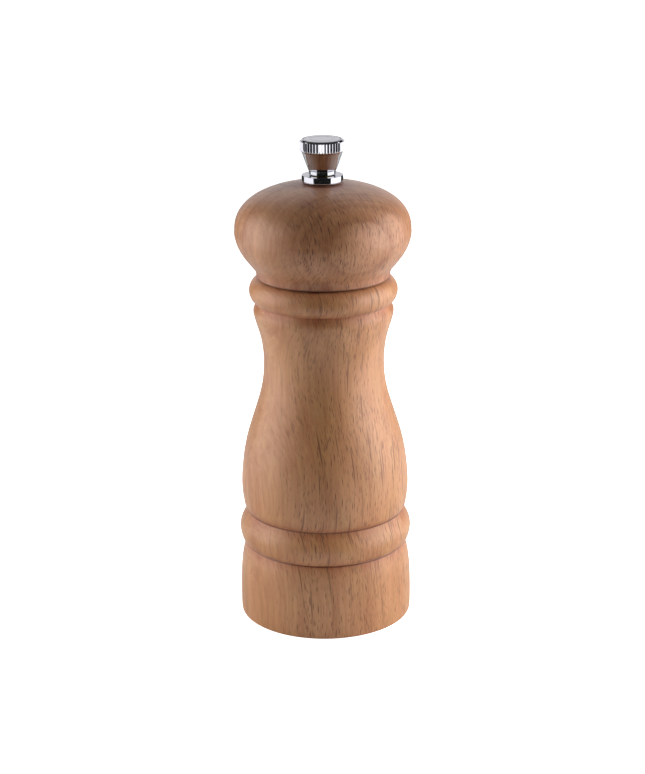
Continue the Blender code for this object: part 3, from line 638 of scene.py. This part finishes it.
headShape = {
    "base": atBody["high"] + gap,
    "widest": 15.45,  # height of the widest point above the lip
    "domePower": 2.33,
    "lip": 22.1,
    "curl": 0.0425,
    "fillet": 0.75,  # between the curl and the lip
    "chamfer": 0.4,
    "shaftBore": 4.1,
    "counterbore": (5.4, 1.6),  # radius, depth
    "plateRecess": (10.8, 1.8),
    "tenon": 13.1,
}


def headOutline(shape):
    base = shape["base"]
    top = atHead["high"]
    radius = atHead["radius"]
    widest = base + shape["widest"]
    rise = top - widest
    power = shape["domePower"]
    curl = []
    for i in range(37):
        height = base + (widest - base) * i / 36
        lean = (radius - shape["curl"] * (widest - height) ** 2 - shape["lip"]) / 2
        curl.append((shape["lip"] + lean + math.sqrt(lean ** 2 + shape["fillet"] ** 2), height))
    curl[-1] = (radius, widest)
    crown = []
    for i in range(1, 60):
        share = math.sin(math.pi / 2 * i / 60)
        crown.append((radius * (1 - share ** power) ** (1 / power), widest + rise * share))
    crown = [p for p in crown if p[0] > atCollar["radius"]]
    counter, counterDepth = shape["counterbore"]
    recess, recessDepth = shape["plateRecess"]
    bottom = atHead["low"]
    edge = shape["chamfer"]
    return [
        *curl, *crown,
        (atCollar["radius"], top), (counter, top), (counter, top - counterDepth),
        (shape["shaftBore"], top - counterDepth), (shape["shaftBore"], bottom + recessDepth),
        (recess, bottom + recessDepth), (recess, bottom), (shape["tenon"] - edge, bottom),
        (shape["tenon"], bottom + edge), (shape["tenon"], base),
    ]


def makeHead():
    # painted shade at the parting line above the body and under the collar
    paintedShadeBands = [(headShape["base"], 3.0, 0.7), (headShape["base"], 0.3, 1.15), (atHead["high"], 0.45, 1.3)]
    head = turn("millHead", headOutline(headShape), beechHead, segments=160, paintedShadeBands=paintedShadeBands)
    holes = [rodMesh(screwShank + 0.3, atHead["low"], atDriveScrew["high"] + gap, at)
             for at in onCircle(2, driveScrewCircle, 0.0)]
    return finishPiece(carve(head, holes), "head", "beech_head", "head")


knobShape = {
    "neck": 4.4,
    "neckHeight": 1.45,
    "cone": (4.72, 6.75),  # radius at its foot and at its top
    "rimHeight": 4.3,
    "chamfer": 0.9,
    "ribs": 44,
    "ribDepth": 0.32,
    "bevel": 0.65,
    "face": 6.65,
    "bore": 3.9,
    "roof": 3.9,
    "capRecess": 6.2,
    "capStep": 0.85,
}


def makeCollar():
    low = atCollar["low"]
    high = atCollar["high"]
    radius = atCollar["radius"]
    bore = 3.9
    soft = 0.42
    points = [
        (bore, low), (radius - soft, low), *arc(radius - soft, low + soft, soft, -80, 0, 8),
        *arc(radius - 0.14, high - 0.14, 0.14, 0, 90, 4), (bore + 0.1, high), (bore, high - 0.1),
    ]
    collar = turn("collarDisc", points, chrome, segments=128)
    return finishPiece(collar, "collar", "chrome", "collar")


def makeKnob():
    shape = knobShape
    low = atKnob["low"]
    high = atKnob["high"]
    radius = atKnob["radius"]
    neck = shape["neck"]
    neckTop = low + shape["neckHeight"]
    coneBase, coneTop = shape["cone"]
    rimBase = high - shape["rimHeight"]
    wallBase = rimBase + shape["chamfer"]
    wallTop = high - shape["bevel"]
    root = radius - shape["ribDepth"]
    face = shape["face"]
    recess = shape["capRecess"]
    step = shape["capStep"]
    roof = high - shape["roof"]
    steps = 8
    slope = [(coneTop + (radius - coneTop) * i / steps, rimBase + (wallBase - rimBase) * i / steps)
             for i in range(1, steps + 1)]
    wall = [(radius, wallBase + (wallTop - wallBase) * i / steps) for i in range(1, steps + 1)]
    points = [
        (0.0, roof), (shape["bore"], roof), (shape["bore"], low + 0.1), (shape["bore"] + 0.1, low),
        (neck - 0.1, low), (neck, low + 0.1), (neck, neckTop - 0.35),
        *arc(neck + 0.35, neckTop - 0.35, 0.35, 180, 125, 5), (coneBase, neckTop),
        (coneTop, rimBase), *[(r, z, radius) for r, z in slope + wall],
        (root, wallTop + 0.02), (face + 0.05, high - 0.03), (face, high),
        (recess, high), (recess, high - step), (0.0, high - step),
    ]
    flutes = {"Flutes": float(shape["ribs"]), "Depth": shape["ribDepth"] * mm, "Skew": 0.5}
    knob = turn("knobShell", points, chrome, segments=shape["ribs"] * 8, closed=False, flutes=flutes)
    return finishPiece(knob, "knob", "chrome", "knob")


def makeCap():
    low = atCap["low"]
    high = atCap["high"]
    radius = atCap["radius"]
    groove, half, depth = 4.2, 0.30, 0.07
    dip = [(groove + half * math.cos(a), high - depth * math.sin(a))
           for a in [math.pi * i / 10 for i in range(11)]]
    points = [(0.0, low), (radius, low), (radius, high - 0.06), (radius - 0.06, high), *dip, (0.0, high)]
    cap = turn("knobCap", points, chrome, segments=128, closed=False)
    return finishPiece(cap, "knob", "chrome", "knob_cap")


def makeInsert():
    low = atInsert["low"]
    high = atInsert["high"]
    outer = 3.6
    bore = 2.8
    flange = atInsert["radius"]
    pitch = 0.8
    rows = int((high - low) / pitch * 8)
    thread = [(bore, high - (high - low) * i / rows, bore) for i in range(rows + 1)]
    points = [(flange - 0.15, low), (flange, low + 0.15), (flange, low + 1.05), (flange - 0.15, low + 1.2),
              (outer, low + 1.2), (outer, high - 0.2), (outer - 0.2, high)] + thread
    flutes = {"Flutes": 1.0, "Depth": 0.24 * mm, "Twist": -1 / (pitch * mm)}
    insert = turn("knobInsert", points, brass, segments=64, flutes=flutes)
    return finishPiece(insert, "knob", "brass", "knob_insert")


shaftShape = {
    "width": 5.0,
    "chamfer": 0.45,
    "top": {"radius": 2.5, "pitch": 0.8, "depth": 0.4},
    "foot": {"radius": 2.0, "pitch": 0.7, "depth": 0.36},
}


def threadPart(name, kind, low, high, material):
    radius = kind["radius"]
    pitch = kind["pitch"]
    rows = int((high - low) / pitch * 8)
    end = 0.45
    wall = [(radius, low + (high - low) * i / rows, radius) for i in range(rows + 1)]
    wall = [(min(r, radius - end + (high - z), radius - end + (z - low)), z, radius) for r, z, _ in wall]
    points = [(0.0, low), *wall, (0.0, high)]
    flutes = {"Flutes": 1.0, "Depth": kind["depth"] * mm, "Twist": -1 / (pitch * mm)}
    return turn(name, points, material, segments=48, closed=False, flutes=flutes)


def makeShaft():
    squareLow = atRotorWasher["high"] + gap
    squareHigh = atInsert["low"] - 1.45
    bar = boxMesh(shaftShape["width"], shaftShape["width"], squareLow, squareHigh,
                  soft=shaftShape["chamfer"])
    bar.data.materials.append(zincSteel)
    bar.data.shade_smooth()
    bar.data.set_sharp_from_angle(angle=math.radians(25))
    top = threadPart("thread", shaftShape["top"], squareHigh - 2.0, atShaft["high"], zincSteel)
    foot = threadPart("thread", shaftShape["foot"], atShaft["low"], squareLow + 2.0, zincSteel)
    return finishPiece(joined("driveShaft", [bar, top, foot]), "shaft", "steel", "shaft")


burrShape = {
    "skirtHeight": 5.5,
    "skirtTop": 10.6,
    "coneTop": 6.4,
    "teeth": 40,
    "toothDepth": 0.55,
    "lobes": 5,
    "lobeDepth": 2.0,
    "lobeTwist": 0.0178,  # turns per mm, times the number of lobes
    "bore": 3.6,
    "throat": 11.7,
    "throatHeights": (14.5, 17.5),
    "mouth": 14.2,
    "throatSpread": 13.9,
}


def makeRotor():
    shape = burrShape
    low = atRotor["low"]
    high = atRotor["high"]
    radius = atRotor["radius"]
    middle = low + shape["skirtHeight"]
    skirt = []
    for i in range(17):
        wide = radius + (shape["skirtTop"] - radius) * i / 16
        skirt.append((wide, low + (middle - low) * i / 16, wide))
    points = [(shape["bore"], low), (radius - 0.3, low), *skirt, (shape["bore"], middle)]
    flutes = {"Flutes": float(shape["teeth"]), "Depth": shape["toothDepth"] * mm, "Skew": 0.22,
              "Twist": 260.0}
    fine = turn("skirt", points, burrSteel, segments=shape["teeth"] * 9, flutes=flutes)
    steps = 30
    cone = [(shape["skirtTop"] + (shape["coneTop"] - shape["skirtTop"]) * i / steps,
             middle - 0.4 + (high - middle + 0.4) * i / steps) for i in range(steps + 1)]
    cone = [(r, z, r) for r, z in cone]
    points = [(shape["bore"], middle - 0.4), *cone, (shape["bore"], high)]
    flutes = {"Flutes": float(shape["lobes"]), "Depth": shape["lobeDepth"] * mm, "Skew": 0.3,
              "Twist": -shape["lobes"] * shape["lobeTwist"] / mm}
    coarse = turn("lobes", points, burrSteel, segments=180, flutes=flutes)
    return finishPiece(joined("burrCone", [fine, coarse]), "shaft", "hard_steel", "rotor")


def makeStator():
    shape = burrShape
    low = atStator["low"]
    high = atStator["high"]
    outer = atStator["radius"]
    foot, top = shape["throatHeights"]
    spread = shape["throatSpread"]
    lower = [(spread + (shape["throat"] - spread) * i / 14, low + (foot - low) * i / 14) for i in range(15)]
    upper = [(shape["throat"], foot + (top - foot) * i / 4) for i in range(1, 5)]
    mouth = [(shape["throat"] + (shape["mouth"] - shape["throat"]) * i / 10, top + (high - top) * i / 10)
             for i in range(1, 11)]
    inner = [(r, z, r) for r, z in lower + upper] + [(r, z, r + 0.055 * i) for i, (r, z) in enumerate(mouth)]
    points = [*inner, (outer - 0.3, high), (outer, high - 0.3), (outer, low + 0.3), (outer - 0.3, low)]
    flutes = {"Flutes": float(shape["teeth"]), "Depth": 0.55 * mm, "Skew": 0.78, "Twist": -200.0}
    ring = turn("burrRing", points, burrSteel, segments=shape["teeth"] * 9, flutes=flutes)
    return finishPiece(ring, "body", "hard_steel", "stator")


def makePlate():
    points = ringPoints(14.2, atPlate["radius"], atPlate["low"], atPlate["high"], 0.3)
    plate = turn("grinderPlate", points, zincSteel, segments=128)
    holes = [rodMesh(screwShank + 0.3, atPlate["low"] - 1.0, atPlate["high"] + 1.0, at)
             for at in onCircle(3, plateScrewCircle)]
    return finishPiece(carve(plate, holes), "body", "steel", "grinder_plate")


screwShape = {"length": 10.0, "head": 2.3, "headHeight": 1.5, "pitch": 1.1, "thread": 0.34,
              "slotWidth": 0.62, "slotDepth": 0.75, "slotLength": 3.3}


def screwMesh():
    shape = screwShape
    height = shape["headHeight"]
    tip = height + shape["length"]
    rows = int(shape["length"] / shape["pitch"] * 8)
    shank = []
    for i in range(rows + 1):
        z = height + (tip - height) * i / rows
        radius = min(screwShank, (tip - z) * 0.5 + 0.02)
        shank.append((radius, z, radius if z > height + 1.2 else openRim / mm))
    dome = [(shape["head"] * math.sin(a), height * 0.62 * (1 - math.cos(a)))
            for a in [math.pi / 2 * i / 9 for i in range(10)]]
    points = [*dome, (shape["head"], height - 0.12), (shape["head"] - 0.12, height), *shank, (0.0, tip)]
    flutes = {"Flutes": 1.0, "Depth": shape["thread"] * mm, "Twist": -1 / (shape["pitch"] * mm)}
    screw = turn("screw", points, screwSteel, segments=32, closed=False, flutes=flutes)
    slots = [boxMesh(shape["slotLength"], shape["slotWidth"], -1.0, shape["slotDepth"], angle=a)
             for a in (0.0, math.pi / 2)]
    return carve(screw, slots)


def circleTree():
    tree = bpy.data.node_groups.new("setRoundCircle", "GeometryNodeTree")
    graph = Graph(tree)
    face = tree.interface
    face.new_socket("Piece", in_out="INPUT", socket_type="NodeSocketGeometry")
    for name, kind in (("Count", "Int"), ("Radius", "Float"), ("Height", "Float"),
                       ("Start", "Float"), ("Turn each", "Float"), ("Material", "Material")):
        face.new_socket(name, in_out="INPUT", socket_type="NodeSocket" + kind)
    face.new_socket("Set", in_out="OUTPUT", socket_type="NodeSocketGeometry")
    given = graph.node("NodeGroupInput")
    points = graph.node("GeometryNodePoints", {}, {"Count": given.of("Count")})
    index = graph.node("GeometryNodeInputIndex")
    angle = given.of("Start") + index * math.tau / given.of("Count")
    place = graph.node("ShaderNodeCombineXYZ", {}, {
        "X": graph.maths("COSINE", angle) * given.of("Radius"),
        "Y": graph.maths("SINE", angle) * given.of("Radius"),
        "Z": given.of("Height")})
    points = graph.node("GeometryNodeSetPosition", {}, {"Geometry": points, "Position": place})
    spin = graph.node("ShaderNodeCombineXYZ", {}, {"X": 0.0, "Y": 0.0,
                                                   "Z": index * given.of("Turn each") + 0.35})
    placed = graph.node("GeometryNodeInstanceOnPoints", {},
                        {"Points": points, "Instance": given, "Rotation": spin})
    placed = graph.node("GeometryNodeRealizeInstances", {}, {"Geometry": placed})
    placed = graph.node("GeometryNodeSetMaterial", {},
                        {"Geometry": placed, "Material": given.of("Material")})
    graph.node("NodeGroupOutput", {}, {"Set": placed})
    return tree


def makeScrews():
    aroundCircle = circleTree()
    for name, node, body, count, radius, start in (
            ("plateScrews", "plate_screw_", "body", 3, plateScrewCircle, math.pi / 2),
            ("driveScrews", "drive_screw_", "head", 2, driveScrewCircle, 0.0)):
        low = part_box(node + "1")[0].z
        values = {"Count": count, "Radius": radius * mm, "Height": low, "Start": start,
                  "Turn each": 0.61, "Material": screwSteel}
        screws = runTree(screwMesh(), aroundCircle, values, name)
        finishPiece(screws, body, "screw_steel", *[f"{node}{i + 1}" for i in range(count)])


def makeWashers():
    for name, node, at, bore, material, slotName in (
            ("springWasher", "spring_washer", atSpringWasher, 3.6, zincSteel, "steel"),
            ("rotorWasher", "rotor_washer", atRotorWasher, 2.3, zincSteel, "steel")):
        points = ringPoints(bore, at["radius"], at["low"], at["high"], 0.2)
        finishPiece(turn(name, points, material, segments=96), "shaft", slotName, node)


def makeNut():
    low = atNut["low"]
    high = atNut["high"]
    corner = 7.0 / 2 / math.cos(math.pi / 6)
    bore = 2.3
    nut = turn("rotorNut", [(bore + 0.4, low), (corner - 0.55, low), (corner + 0.05, low + 0.4),
                            (corner + 0.05, high - 0.4), (corner - 0.55, high), (bore + 0.4, high),
                            (bore, high - 0.35), (bore, low + 0.35)], zincSteel, segments=96)
    hexagon = rodMesh(corner, low - 1.0, high + 1.0, sides=6)
    nut = carve(nut, [hexagon], "INTERSECT")
    return finishPiece(nut, "shaft", "steel", "rotor_nut")


def makeBush():
    low = atBush["low"]
    high = atBush["high"]
    flange = atBush["radius"]
    journal = 4.6
    step = low + 1.4
    points = [(0.0, low), (flange - 0.2, low), (flange, low + 0.2), (flange, step - 0.15),
              (flange - 0.15, step), (journal + 0.05, step), (journal, step + 0.1),
              (journal, high - 0.2), (journal - 0.2, high), (0.0, high)]
    bush = turn("thrustBush", points, brass, segments=96, closed=False)
    hole = boxMesh(squareHole, squareHole, low - 1.0, high + 1.0)
    return finishPiece(carve(bush, [hole]), "spring_seat", "brass", "thrust_bush")


def makeDrivePlate():
    low = atDrivePlate["low"]
    high = atDrivePlate["high"]
    points = [(0.0, low), (atDrivePlate["radius"] - 0.2, low), (atDrivePlate["radius"], low + 0.2),
              (atDrivePlate["radius"], high - 0.2), (atDrivePlate["radius"] - 0.2, high), (0.0, high)]
    plate = turn("drivePlate", points, zincSteel, segments=96, closed=False)
    cutters = [rodMesh(screwShank + 0.3, low - 1.0, high + 1.0, at)
               for at in onCircle(2, driveScrewCircle, 0.0)]
    cutters.append(boxMesh(squareHole, squareHole, low - 1.0, high + 1.0))
    return finishPiece(carve(plate, cutters), "head", "steel", "drive_plate")


strapShape = {"thickness": 1.2, "foot": 1.2, "bend": 2.2, "legRadius": 15.4, "hole": 4.9}


# A strip bent down over the burrs, swept along its middle line and rounded at its bends
def makeBridge():
    low = atBridge["low"]
    high = atBridge["high"]
    foot = atBridge["radius"]
    half = strapShape["thickness"] / 2
    width = atBridge["across"]
    leg = math.sqrt(strapShape["legRadius"] ** 2 - width ** 2)
    bend = strapShape["bend"]
    right = [(foot, low + half), *arc(leg + 0.7 - half, low + half + 0.7, 0.7, -90, -180, 4)[0:],
             *arc(leg - half - bend, high - half - bend, bend, 0, 90, 8)]
    line = right + [(-x, z) for x, z in reversed(right)]
    bm = bmesh.new()
    rows = []
    for i, (x, z) in enumerate(line):
        before = Vector(line[max(i - 1, 0)])
        after = Vector(line[min(i + 1, len(line) - 1)])
        along = (after - before).normalized()
        out = Vector((along.y, -along.x)) * half
        rows.append([bm.verts.new(((x + side * out.x) * mm, y * width * mm, (z + side * out.y) * mm))
                     for side, y in ((1, -1), (1, 1), (-1, 1), (-1, -1))])
    for lower, upper in zip(rows, rows[1:]):
        for i in range(4):
            j = (i + 1) % 4
            bm.faces.new((lower[i], lower[j], upper[j], upper[i]))
    bm.faces.new(rows[0])
    bm.faces.new(rows[-1])
    bmesh.ops.recalc_face_normals(bm, faces=bm.faces)
    mesh = bpy.data.meshes.new("bridgeStrap")
    bm.to_mesh(mesh)
    bm.free()
    mesh.materials.append(zincSteel)
    strap = link(bpy.data.objects.new("bridgeStrap", mesh))
    strap = carve(strap, [rodMesh(strapShape["hole"], high - 3.0, high + 2.0, sides=64)])
    return finishPiece(strap, "body", "steel", "bridge")


springShape = {"turns": 5.0, "wire": 0.45, "radius": 4.9, "samples": 220, "sides": 10}


def springTree():
    tree = bpy.data.node_groups.new("windSpring", "GeometryNodeTree")
    graph = Graph(tree)
    face = tree.interface
    face.new_socket("Unused", in_out="INPUT", socket_type="NodeSocketGeometry")
    for name, kind in (("Turns", "Float"), ("Radius", "Float"), ("Wire", "Float"), ("Low", "Float"),
                       ("High", "Float"), ("Samples", "Int"), ("Sides", "Int"), ("Material", "Material")):
        face.new_socket(name, in_out="INPUT", socket_type="NodeSocket" + kind)
    face.new_socket("Spring", in_out="OUTPUT", socket_type="NodeSocketGeometry")
    given = graph.node("NodeGroupInput")
    wire = given.of("Wire")
    line = graph.node("GeometryNodeMeshLine", {}, {"Count": given.of("Samples")})
    share = graph.node("GeometryNodeInputIndex") / (given.of("Samples") - 1)
    turns = share * given.of("Turns")
    # The first and last turns lie nearly flat, as the ends of a compression spring do
    ends = graph.maths("MINIMUM", turns, 1.0)
    ends = ends + graph.maths("MAXIMUM", turns - given.of("Turns") + 1, 0.0)
    middle = graph.maths("MAXIMUM", graph.maths("MINIMUM", turns - 1, given.of("Turns") - 2), 0.0)
    flat = wire * 2.2
    low = given.of("Low") + wire
    rise = given.of("High") - wire - low - flat * 2
    height = low + ends * flat + middle / (given.of("Turns") - 2) * rise
    angle = turns * math.tau
    place = graph.node("ShaderNodeCombineXYZ", {}, {
        "X": graph.maths("COSINE", angle) * given.of("Radius"),
        "Y": graph.maths("SINE", angle) * given.of("Radius"),
        "Z": height})
    line = graph.node("GeometryNodeSetPosition", {}, {"Geometry": line, "Position": place})
    path = graph.node("GeometryNodeMeshToCurve", {}, {"Mesh": line})
    ring = graph.node("GeometryNodeCurvePrimitiveCircle", {"mode": "RADIUS"},
                      {"Resolution": given.of("Sides"), "Radius": wire})
    wound = graph.node("GeometryNodeCurveToMesh", {}, {"Curve": path, "Profile Curve": ring,
                                                       "Fill Caps": True})
    wound = graph.node("GeometryNodeRealizeInstances", {}, {"Geometry": wound})
    wound = graph.node("GeometryNodeSetMaterial", {},
                       {"Geometry": wound, "Material": given.of("Material")})
    graph.node("NodeGroupOutput", {}, {"Spring": wound})
    return tree


def makeSpring():
    holder = link(bpy.data.objects.new("holder", bpy.data.meshes.new("holder")))
    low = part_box("spring")[0].z
    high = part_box("spring")[1].z
    values = {"Turns": springShape["turns"], "Radius": springShape["radius"] * mm,
              "Wire": springShape["wire"] * mm, "Low": low, "High": high,
              "Samples": springShape["samples"], "Sides": springShape["sides"],
              "Material": springSteel}
    spring = runTree(holder, springTree(), values, "burrSpring")
    faceOutwards(spring)
    spring.data.set_sharp_from_angle(angle=math.radians(60))
    finishPiece(spring, "spring_seat", "spring_steel", "spring")
    travel = next(j for j in frame["joints"] if j["name"] == "shaft_rise")["range_m"][1]
    1 - travel / (high - low)
    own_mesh(spring)
    return spring


makeBody()
makeHead()
makeCollar()
makeKnob()
makeCap()
makeInsert()
makeShaft()
makeRotor()
makeStator()
makePlate()
makeScrews()
makeWashers()
makeNut()
makeBush()
makeDrivePlate()
makeBridge()
makeSpring()
print("pieces made")


studio = {
    "leftBox": {"angle": -96.0, "distance": 0.46, "size": (0.44, 0.56), "height": 0.165, "power": 3.45},
    "rightBox": {"angle": 90.0, "distance": 0.46, "size": (0.46, 0.56), "height": 0.165, "power": 5.4},
    "floorFill": {"angle": 0.0, "distance": 0.10, "size": (0.28, 0.05), "height": 0.005, "power": 0.024},
    # "floorFill" lies low in front, as the pale floor throws light on the foot.
    # What polished surfaces see of the two boxes: (from, to) in degrees, and how bright
    "leftGlow": (-122.0, -52.0, 1.6),
    "rightGlow": (46.0, 122.0, 2.0),
    "backGlow": 0.80,
    "world": (0.80, 0.80, 0.86),
    "worldLight": 0.06,
    "floorGlow": 1.15,
}


def standAt(obj, angle, distance, height, aim):
    turnBy = math.radians(angle)
    obj.location = (math.sin(turnBy) * distance, -math.cos(turnBy) * distance, height)
    obj.rotation_euler = (Vector(aim) - obj.location).to_track_quat("-Z", "Y").to_euler()


def makeSoftbox(name, box):
    light = bpy.data.lights.new(name, "AREA")
    light.shape = "RECTANGLE"
    light.size, light.size_y = box["size"]
    light.energy = box["power"]
    lamp = link(bpy.data.objects.new(name, light))
    standAt(lamp, box["angle"], box["distance"], box["height"], (0, 0, box["height"]))
    lamp.visible_camera = False
    lamp.visible_glossy = False


def makeFloor():
    material, graph = newMaterial("floorPaper")
    sheet = graph.node("ShaderNodeBsdfPrincipled", {}, {"Base Color": rgba(0.86, 0.86, 0.86),
                                                        "Roughness": 0.9})
    glow = graph.node("ShaderNodeEmission", {}, {"Color": rgba(1.0, 1.0, 1.0),
                                                 "Strength": studio["floorGlow"]})
    lit = graph.node("ShaderNodeAddShader", {}, {0: sheet, 1: glow})
    seen = graph.node("ShaderNodeLightPath").of("Is Camera Ray")
    top = graph.node("ShaderNodeMixShader", {}, {0: seen, 1: sheet, 2: lit})
    clear = graph.node("ShaderNodeBsdfTransparent")
    under = graph.node("ShaderNodeNewGeometry").of("Backfacing")
    both = graph.node("ShaderNodeMixShader", {}, {0: under, 1: top, 2: clear})
    graph.node("ShaderNodeOutputMaterial", {}, {"Surface": both})
    mesh = bpy.data.meshes.new("floor")
    reach = 6.0
    mesh.from_pydata([(-reach, -reach, -0.0002), (reach, -reach, -0.0002), (reach, reach, -0.0002),
                      (-reach, reach, -0.0002)], [], [(0, 1, 2, 3)])
    mesh.materials.append(material)
    link(bpy.data.objects.new("floor", mesh))


def curvedCard(name, start, end, distance, low, high, material):
    steps = 12
    angles = [math.radians(start + (end - start) * i / steps) for i in range(steps + 1)]
    places = [(math.sin(a) * distance, -math.cos(a) * distance, z) for z in (low, high) for a in angles]
    faces = [(i, i + 1, i + steps + 2, i + steps + 1) for i in range(steps)]
    mesh = bpy.data.meshes.new(name)
    mesh.from_pydata(places, [], faces)
    mesh.materials.append(material)
    card = link(bpy.data.objects.new(name, mesh))
    card.visible_camera = False
    card.visible_shadow = False
    return card


def makeCards():
    material, graph = newMaterial("blackCard")
    cloth = graph.node("ShaderNodeBsdfPrincipled", {}, {"Base Color": rgba(0.004, 0.004, 0.004),
                                                        "Roughness": 0.9})
    graph.node("ShaderNodeOutputMaterial", {}, {"Surface": cloth})
    curvedCard("frontCard", -46.0, 44.0, 0.50, 0.0, 0.62, material)
    curvedCard("leftCard", -150.0, -124.0, 0.50, 0.0, 0.62, material)
    curvedCard("rightCard", 124.0, 150.0, 0.50, 0.0, 0.62, material)


# Glowing cards and a pale wall behind, which only polished surfaces see
def makeGlow(name, start, end, strength, distance, low, high):
    material, graph = newMaterial(name)
    glow = graph.node("ShaderNodeEmission", {}, {"Color": rgba(0.95, 0.95, 1.0), "Strength": strength})
    graph.node("ShaderNodeOutputMaterial", {}, {"Surface": glow})
    card = curvedCard(name, start, end, distance, low, high, material)
    card.visible_diffuse = False


def makeWorld():
    world = bpy.data.worlds.new("studioAir")
    bpy.context.scene.world = world
    world.use_nodes = True
    graph = Graph(world.node_tree)
    seen = graph.node("ShaderNodeLightPath").of("Is Camera Ray")
    dim = graph.node("ShaderNodeBackground", {}, {"Color": rgba(*studio["world"]),
                                                  "Strength": studio["worldLight"]})
    white = graph.node("ShaderNodeBackground", {}, {"Color": rgba(1.0, 1.0, 1.0), "Strength": 1.0})
    both = graph.node("ShaderNodeMixShader", {}, {0: seen, 1: dim, 2: white})
    graph.node("ShaderNodeOutputWorld", {}, {"Surface": both})


cameraSet = {
    "aim": (-0.00057, 0.0, 0.08003),
    "distance": 0.6446,
    "elevation": 18.01,
    "azimuth": 1.27,
    "roll": 0.506,
    "lens": 88.37,  # mm, for 36 mm along the picture's long side
}


def makeCamera():
    camera = bpy.data.cameras.new("camera")
    camera.lens = cameraSet["lens"]
    camera.sensor_width = 36.0
    camera.clip_start = 0.05
    camera.clip_end = 20.0
    holder = link(bpy.data.objects.new("camera", camera))
    rise = math.radians(cameraSet["elevation"])
    side = math.radians(cameraSet["azimuth"])
    forward = Vector((math.sin(side) * math.cos(rise), math.cos(side) * math.cos(rise), -math.sin(rise)))
    right = Vector((math.cos(side), -math.sin(side), 0.0))
    up = right.cross(forward)
    roll = math.radians(cameraSet["roll"])
    right, up = (right * math.cos(roll) - up * math.sin(roll), right * math.sin(roll) + up * math.cos(roll))
    place = Vector(cameraSet["aim"]) - forward * cameraSet["distance"]
    axes = Matrix((right, up, -forward)).transposed().to_4x4()
    holder.matrix_world = Matrix.Translation(place) @ axes
    bpy.context.scene.camera = holder


makeSoftbox("leftBox", studio["leftBox"])
makeSoftbox("rightBox", studio["rightBox"])
makeSoftbox("floorFill", studio["floorFill"])
makeFloor()
makeCards()
makeGlow("leftGlow", *studio["leftGlow"], 0.44, 0.0, 0.50)
makeGlow("rightGlow", *studio["rightGlow"], 0.44, 0.0, 0.50)
makeGlow("backWall", 130.0, 230.0, studio["backGlow"], 1.6, 0.0, 2.2)
makeWorld()
makeCamera()
bpy.context.scene.view_settings.view_transform = "Standard"
print("studio set")
